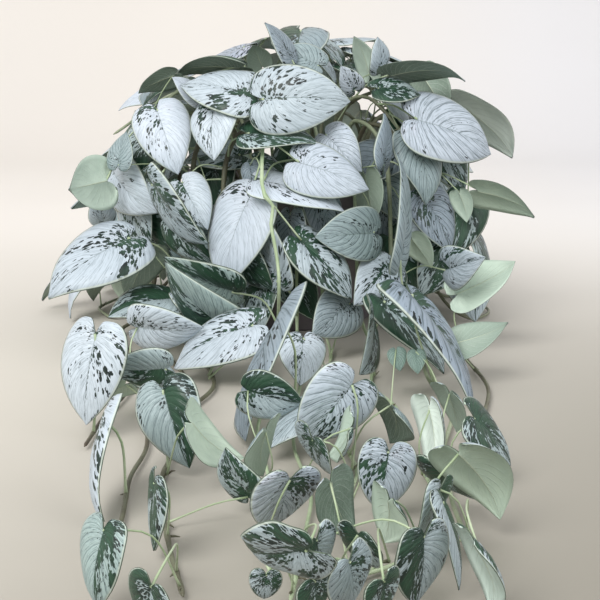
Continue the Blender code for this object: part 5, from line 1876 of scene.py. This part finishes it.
def stalk_tube(route, leaf_length):
    """A stalk through its route, thicker at both ends, and thinner for a small leaf."""
    path = smooth_route(route, STALK_STEP)
    slimness = min(1, max(STALK_SLIMMEST, leaf_length / STALK_FULL))
    radii = []
    for index in range(len(path)):
        part = index / (len(path) - 1)
        root = (STALK_ROOT - STALK_MIDDLE) * max(0, 1 - part / 0.3) ** 2
        head = (STALK_HEAD - STALK_MIDDLE) * max(0, (part - 0.8) / 0.2)
        radii.append((STALK_MIDDLE + root + head) * slimness)
    return fine_tube(path, radii, STALK_SIDES)


def root_nub(node, draw):
    """A short dry root that starts beside a stalk."""
    way = Vector((draw.uniform(-1, 1), draw.uniform(-1, 1), draw.uniform(-0.2, 0.8))).normalized()
    length = draw.uniform(*NUB_LENGTHS) * MM
    bend = Vector((0, 0, draw.uniform(-0.4, 0.2))) * length
    route = [node, node + way * length * 0.55, node + way * length + bend]
    route[2].z = max(route[2].z, REST_UPPER)
    return fine_tube(route, NUB_RADII, NUB_SIDES)


trial = stalk_tube([Vector((0, 0, 0)), Vector((0, 0, 0.02)), Vector((0.01, 0, 0.04))], 0.09)
print("faces of a short stalk:", len(trial.faces))
trial.free()

# %% [markdown]
# ## Which kind a leaf gets
#
# A leaf that shows has its kind by name; any other draws one, and inside the mound a darker one as
# painted shade. A blade's own left may show as its right or upper half, so the halves are swapped where
# that is so.
# What differs from leaf to leaf is written on its points as colour layers. A material for each leaf
# would say the same two hundred times.

# %% The kind of a leaf
LAYERS = ("marks", "tints_and_painted_light", "backs")
INNER_FRONT, INNER_ABOVE = -30 * MM, 60 * MM
UNLIKE_HALVES = 0.25
LIGHT_SPREAD = 0.1


def look_of(grown, draw):
    """The kinds of a leaf's two halves, its left or upper half first, and of its back."""
    middle = (grown.leaf.base + grown.leaf.tip) / 2
    in_painted_shade = middle.y < INNER_FRONT and middle.z > INNER_ABOVE
    kinds = PAINTED_SHADE_LOOKS if in_painted_shade else DRAWN_LOOKS
    names = [draw.choice(kinds)] * 2
    if draw.random() < UNLIKE_HALVES:
        names[1] = draw.choice(kinds)
    back = Back(draw.uniform(0.05, 0.75), draw.uniform(0.0, 0.6))
    key = getattr(grown.source, "base", None)
    if key in SHOWN_LOOKS:
        names = list(SHOWN_LOOKS[key])
    if key in SHOWN_BACKS:
        back = BACKS[SHOWN_BACKS[key]]
    side = leaf_axes(grown.leaf)[0]
    upright = abs(side.x) > abs(side.z)
    if (side.x if upright else -side.z) < 0:
        names.reverse()
    return [LOOKS[name] for name in names], back


def write_marks(piece, grown, draw):
    """Put a leaf's own numbers on all its points."""
    (left, right), back = look_of(grown, draw)
    # The light number is partly painted light: how lit the leaf looks, spread a little from leaf to leaf.
    light = max(left.light, right.light) + draw.uniform(-LIGHT_SPREAD, LIGHT_SPREAD)
    seed = (draw.random() + SHIFTED.get(getattr(grown.source, "base", None), 0)) % 1
    values = ((left.green, right.green, (left.band + right.band) / 2, 1),
              ((left.tone + right.tone) / 2, light, seed, 1),
              (*back, (left.veins + right.veins) / 2, 1))
    for name, value in zip(LAYERS, values):
        layer = piece.verts.layers.float_color.new(name)
        for vert in piece.verts:
            vert[layer] = value


def write_age(tube, age):
    """Tell the bark of a tube how old it is, from pale green at 0 to brown at 1."""
    layer = tube.verts.layers.float_color.new("backs")
    for vert in tube.verts:
        vert[layer] = (0, 0, age, 1)


print("spread of the light from leaf to leaf:", LIGHT_SPREAD)

# %% [markdown]
# ## One piece for each vine
#
# A vine grew as one thing, so its stem, stalks and blades become one mesh in place of the plain
# solid of the same name. Joining two hundred objects would be slower. The long stems in front are
# slim and green, and the others browner.

# %% Gather the pieces of one vine
SLIM_YOUNG, SLIM_OLD = 0.66, 0.84
DRAWN_AGES = (0.45, 0.95)
STALK_AGE, NUB_AGE = 0.08, 1.2
NUB_CHANCE = 0.6
YOUNG_VINES = {"vine_front_middle_left": 0.0, "vine_front_middle": 0.15, "vine_front_right_inner": 0.1,
               "vine_front_middle_right": 0.2}
OLD_VINES = {"vine_front_far_left": 1.0, "vine_front_left": 0.95}


def add_to(whole, piece):
    """Add a small mesh to a big one."""
    loose = bpy.data.meshes.new("loose")
    piece.to_mesh(loose)
    piece.free()
    whole.from_mesh(loose)
    bpy.data.meshes.remove(loose)


def add_leaf(whole, grown, draw):
    """Add a leaf's blade, its stalk and perhaps a root nub."""
    shown = getattr(grown.source, "base", None) is not None
    rows, half = (ROWS_SHOWN, HALF_SHOWN) if shown else (ROWS_PLAIN, HALF_PLAIN)
    blade = fine_blade(grown.leaf, drawn_waves(draw), rows, half)
    write_marks(blade, grown, draw)
    add_to(whole, blade)
    stalk = stalk_tube(grown.route, (grown.leaf.tip - grown.leaf.base).length)
    write_age(stalk, STALK_AGE)
    add_to(whole, stalk)
    if draw.random() < NUB_CHANCE:
        nub = root_nub(grown.route[0], draw)
        write_age(nub, NUB_AGE)
        add_to(whole, nub)


def vine_piece(vine, path, leaves, draw):
    """A vine's stem and leaves as one object. An age is drawn for each vine, used or not."""
    whole = bmesh.new()
    whole.loops.layers.uv.new("vein")
    for name in LAYERS:
        whole.verts.layers.float_color.new(name)
    slimness = SLIM_YOUNG if vine in YOUNG_VINES else SLIM_OLD
    stem = stem_tube([point.copy() for point in path], [grown.route[0] for grown in leaves], slimness)
    write_age(stem, {**YOUNG_VINES, **OLD_VINES}.get(vine, draw.uniform(*DRAWN_AGES)))
    add_to(whole, stem)
    for grown in leaves:
        add_leaf(whole, grown, draw)
    mesh = bpy.data.meshes.new(vine + "_grown")
    whole.to_mesh(mesh)
    whole.free()
    for material in (silver_leaf, leaf_underside, leaf_edge, vine_bark):
        mesh.materials.append(material)
    return bpy.data.objects.new(vine + "_grown", mesh)


print("young vines:", len(YOUNG_VINES), "old ones:", len(OLD_VINES))

# %% [markdown]
# ## Grow every vine
#
# Each fine vine takes the place of its plain solid and rides on the same body, so the plant keeps
# its nodes. The triangles are counted, since a library part has to stay light.

# %% Grow every vine
triangles = 0
draw = random.Random(SEED)
for vine in VINES:
    leaves = [one for one in grown_leaves if one and one.vine == vine.name]
    rooted, path = stem_path(vine)
    piece = vine_piece(vine.name, [rooted] + path, leaves, draw)
    bpy.context.scene.collection.objects.link(piece)
    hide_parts(vine.name)
    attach(piece, "root")
    piece.data.calc_loop_triangles()
    triangles += len(piece.data.loop_triangles)
print("vines:", len(VINES), "triangles:", triangles)

# %% [markdown]
# ## The pot
#
# A thrown or cast pot is a solid of revolution, so its outline is spun about its axis. Scaled
# cylinders would need more steps for the same form.

# %% Spin a solid
def spun(profile, steps):
    """A closed solid of revolution from a half outline that starts and ends on the axis."""
    solid = bmesh.new()
    verts = [solid.verts.new((radius, 0, height)) for radius, height in profile]
    for one, other in zip(verts, verts[1:]):
        solid.edges.new((one, other))
    bmesh.ops.spin(solid, geom=solid.verts[:] + solid.edges[:], cent=(0, 0, 0), axis=(0, 0, 1),
                   angle=math.tau, steps=steps, use_merge=True, dvec=(0, 0, 0))
    bmesh.ops.remove_doubles(solid, verts=solid.verts, dist=0.00001)
    bmesh.ops.recalc_face_normals(solid, faces=solid.faces)
    return solid


def wall_radius(height):
    """How wide the pot's outside is at a height."""
    return POT_FOOT_RADIUS + (POT_RIM_RADIUS - POT_FOOT_RADIUS) * height / POT_HEIGHT


def make_piece(name, solid, material, node):
    """An object in place of a plain solid."""
    mesh = bpy.data.meshes.new(name)
    solid.to_mesh(mesh)
    solid.free()
    mesh.materials.append(material)
    piece = bpy.data.objects.new(name, mesh)
    bpy.context.scene.collection.objects.link(piece)
    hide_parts(node)
    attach(piece, "root")
    return piece


print("the pot is", round(2 * wall_radius(0) / MM), "mm wide at its foot")

# %% [markdown]
# ## The pot's outline and holes
#
# The outline runs from the middle of the foot, up the wall, round the rim and down the inside. No
# fired edge is sharp, so the edges that run round the rim get a bevel: both ends of such an edge
# are equally high and equally far from the axis. For the water, four drums are taken away from the
# floor with one Boolean.

# %% The pot
POT_STEPS = 96
FOOT_CHAMFER, RIM_STEP, RIM_ROUND = 2 * MM, 1 * MM, 0.9 * MM
ROUND_ABOVE = 0.13
DRUM_SIDES = 24
under_rim = POT_HEIGHT - RIM_HEIGHT
outline = [(0, 0), (POT_FOOT_RADIUS - FOOT_CHAMFER, 0), (POT_FOOT_RADIUS, FOOT_CHAMFER),
           (wall_radius(under_rim), under_rim),
           (wall_radius(under_rim) + RIM_OVERHANG, under_rim + RIM_STEP),
           (POT_RIM_RADIUS + RIM_OVERHANG, POT_HEIGHT), (POT_RIM_RADIUS - POT_WALL, POT_HEIGHT),
           (wall_radius(POT_FLOOR) - POT_WALL, POT_FLOOR), (0, POT_FLOOR)]
pot = spun(outline, POT_STEPS)
rounded = [edge for edge in pot.edges
           if abs(edge.verts[0].co.z - edge.verts[1].co.z) < 1e-6 and edge.verts[0].co.z > ROUND_ABOVE
           and abs(edge.verts[0].co.xy.length - edge.verts[1].co.xy.length) < 1e-5]
bmesh.ops.bevel(pot, geom=rounded, offset=RIM_ROUND, offset_type="OFFSET", segments=3, profile=0.5,
                affect="EDGES", clamp_overlap=True, material=-1)
for face in pot.faces:
    face.smooth = True
pot_piece = make_piece("pot_turned", pot, pot_clay, "pot")

drums = bpy.data.collections.new("drain_drums")
for step in range(DRAIN_COUNT):
    centre = polar(DRAIN_CIRCLE, 45 + 360 * step / DRAIN_COUNT, POT_FLOOR / 2)
    drum = bmesh.new()
    bmesh.ops.create_cone(drum, cap_ends=True, segments=DRUM_SIDES, radius1=DRAIN_RADIUS,
                          radius2=DRAIN_RADIUS, depth=POT_FLOOR * 2,
                          matrix=Matrix.Translation(centre))
    mesh = bpy.data.meshes.new("drum")
    drum.to_mesh(mesh)
    drum.free()
    drums.objects.link(bpy.data.objects.new("drum", mesh))
cut = pot_piece.modifiers.new("drains", "BOOLEAN")
cut.operation, cut.solver = "DIFFERENCE", "EXACT"
cut.operand_type, cut.collection = "COLLECTION", drums
graph = bpy.context.evaluated_depsgraph_get()
drained = bpy.data.meshes.new_from_object(pot_piece.evaluated_get(graph))
pot_piece.modifiers.clear()
pot_piece.data = drained
for drum in list(drums.objects):
    bpy.data.objects.remove(drum)
bpy.data.collections.remove(drums)
print("pot faces with drain holes:", len(drained.polygons))

# %% [markdown]
# ## The soil
#
# Potting soil lies in a low, lumpy heap. Its outline is spun like the pot's, with rings close
# enough for noise to push its top about. A bump alone would leave the heap flat where the light
# grazes it. Bits of bark and grit, small round solids, belong to the same mesh, so that the soil
# stays one piece.

# %% Heap of soil
SOIL_RINGS, SOIL_STEPS = 26, 72
SOIL_CLEAR, SOIL_LIFT = 0.6 * MM, 0.3 * MM
SOIL_REACH, SMOOTH_ABOVE = 90 * MM, 100 * MM
CRUMBS, CRUMB_SEED = 150, 4
CRUMB_REACH = 92 * MM
CRUMB_SIZES = (0.8, 2.6)


def soil_height(x, y):
    """How high the lumpy top of the soil is."""
    lump = noise.noise(Vector((x, y, 0)) * 90) * 1.3 + noise.noise(Vector((x, y, 4)) * 260) * 0.7
    crown = SOIL_CROWN * max(0, 1 - math.hypot(x, y) / SOIL_REACH)
    return SOIL_TOP + crown + lump * MM


soil_side = POT_WALL + SOIL_CLEAR
top_radius = wall_radius(SOIL_TOP) - soil_side
rings = [(top_radius * (1 - step / SOIL_RINGS), SOIL_TOP) for step in range(SOIL_RINGS + 1)]
bottom = POT_FLOOR + SOIL_LIFT
heap = spun([(0, bottom), (wall_radius(bottom) - soil_side, bottom)] + rings, SOIL_STEPS)
for vert in heap.verts:
    if vert.co.z > SOIL_TOP - MM and vert.co.xy.length < top_radius - MM:
        vert.co.z = soil_height(vert.co.x, vert.co.y)
for face in heap.faces:
    face.smooth = face.calc_center_median().z > SMOOTH_ABOVE

scatter = random.Random(CRUMB_SEED)
for _ in range(CRUMBS):
    spot = polar(CRUMB_REACH * math.sqrt(scatter.random()), scatter.uniform(0, 360), 0)
    size = scatter.uniform(*CRUMB_SIZES) * MM
    stretch = Matrix.Diagonal((size * scatter.uniform(1, 2.2), size, size * 0.6, 1))
    spin = Matrix.Rotation(scatter.uniform(0, 6.3), 4, "Z")
    height = soil_height(spot.x, spot.y) + size * 0.15
    bmesh.ops.create_icosphere(heap, subdivisions=1, radius=1,
                               matrix=Matrix.Translation((spot.x, spot.y, height)) @ spin @ stretch)
soil_piece = make_piece("soil_heap", heap, potting_soil, "soil")
print("soil faces:", len(soil_piece.data.polygons))

# %% [markdown]
# ## The room
#
# The wall is cream on the left and cooler on the right, and the floor is darkest at the near right:
# painted shade of a lamp's falloff, with the sheet lighter as it rises into the wall as painted light.
# A picture behind the plant would not take its shadow, so the paint changes with the place. Two planes
# would meet in a hard line, so one sheet curves up from the floor into the wall. It lies a hair below
# the pot, so that the two don't flicker.

# %% The room
WALL_LEFT, WALL_RIGHT = shade(240, 235, 229), shade(236, 235, 237)
FLOOR_PAINTED_SHADE, FLOOR_PALE = shade(128, 124, 114), shade(203, 198, 188)
FLOOR_DEPTH, WALL_BACK, WALL_BEND, WALL_TOP = -3.0, 2.7, 0.9, 3.2
BEND_STEPS = 16
ROOM_HALF, ROOM_DROP = 4, 0.0002
room_paint, wire, inputs = finish("room_paint", Roughness=0.9)
spot = wire.node("ShaderNodeTexCoord", output=3)
side, away, height = spot.parts()
# Painted shade: the floor darkens towards the near right, as a lamp's falloff would make it, and lightens
# into the wall.
painted_falloff = (away + height * 0.5 - side * 1.1).rise(-1.1, 0.15).mix(FLOOR_PAINTED_SHADE, FLOOR_PALE)
wall_tone = side.rise(0.0, 0.9).mix(WALL_LEFT, WALL_RIGHT)
paint = (away + height * 2).rise(-0.45, 0.9).mix(painted_falloff, wall_tone)
paint = (wire.noise(spot, 1.2, 2.0).rise(0.3, 0.7) * 0.06).mix(paint, shade(200, 194, 184))
plug(paint, inputs, "Base Color")

room = bmesh.new()
sweep = [(FLOOR_DEPTH, 0)]
for step in range(BEND_STEPS + 1):
    angle = step * math.pi / (2 * BEND_STEPS)
    sweep.append((WALL_BACK - WALL_BEND * (1 - math.sin(angle)), WALL_BEND * (1 - math.cos(angle))))
sweep.append((WALL_BACK, WALL_TOP))
verts = [room.verts.new((-ROOM_HALF, y, z - ROOM_DROP)) for y, z in sweep]
edges = [room.edges.new(pair) for pair in zip(verts, verts[1:])]
drawn_out = bmesh.ops.extrude_edge_only(room, edges=edges)["geom"]
moved = [part for part in drawn_out if isinstance(part, bmesh.types.BMVert)]
bmesh.ops.translate(room, verts=moved, vec=(2 * ROOM_HALF, 0, 0))
bmesh.ops.recalc_face_normals(room, faces=room.faces)
for face in room.faces:
    face.smooth = True
mesh = bpy.data.meshes.new("room")
room.to_mesh(mesh)
room.free()
mesh.materials.append(room_paint)
backdrop = bpy.data.objects.new("room", mesh)
bpy.context.scene.collection.objects.link(backdrop)
print("strips of the floor and wall:", len(mesh.polygons))

# %% [markdown]
# ## Light
#
# Daylight comes from a window at the upper left. A sun lamp would give hard shadows; a wide round
# lamp gives soft ones, a weak one from the right keeps them open, and an even sky lights the rest.

# %% Lamps
AIM = (0, -0.1, 0.15)


def soft_lamp(name, place, size, power, colour):
    """A wide round lamp that shines on the mound."""
    lamp = bpy.data.lights.new(name, "AREA")
    lamp.shape = "DISK"
    lamp.size = size
    lamp.energy = power
    lamp.color = colour
    holder = bpy.data.objects.new(name, lamp)
    bpy.context.scene.collection.objects.link(holder)
    holder.location = place
    aim = Vector(AIM) - Vector(place)
    holder.rotation_euler = aim.to_track_quat("-Z", "Y").to_euler()


soft_lamp("window", (-0.95, -2.0, 1.8), 1.5, 53, (1.0, 0.99, 0.975))
soft_lamp("fill", (1.9, -1.5, 1.0), 1.8, 14, (0.96, 0.98, 1.0))
world = bpy.data.worlds.new("room_light")
bpy.context.scene.world = world
world.use_nodes = True
sky = world.node_tree.nodes["Background"].inputs
sky["Color"].default_value = shade(246, 246, 246)
sky["Strength"].default_value = 0.92
bpy.context.scene.view_settings.view_transform = "Standard"
print("lamps:", [lamp.name for lamp in bpy.data.lights])

# %% [markdown]
# ## The size
#
# The fine plant has to fill the same box as its plain solids.
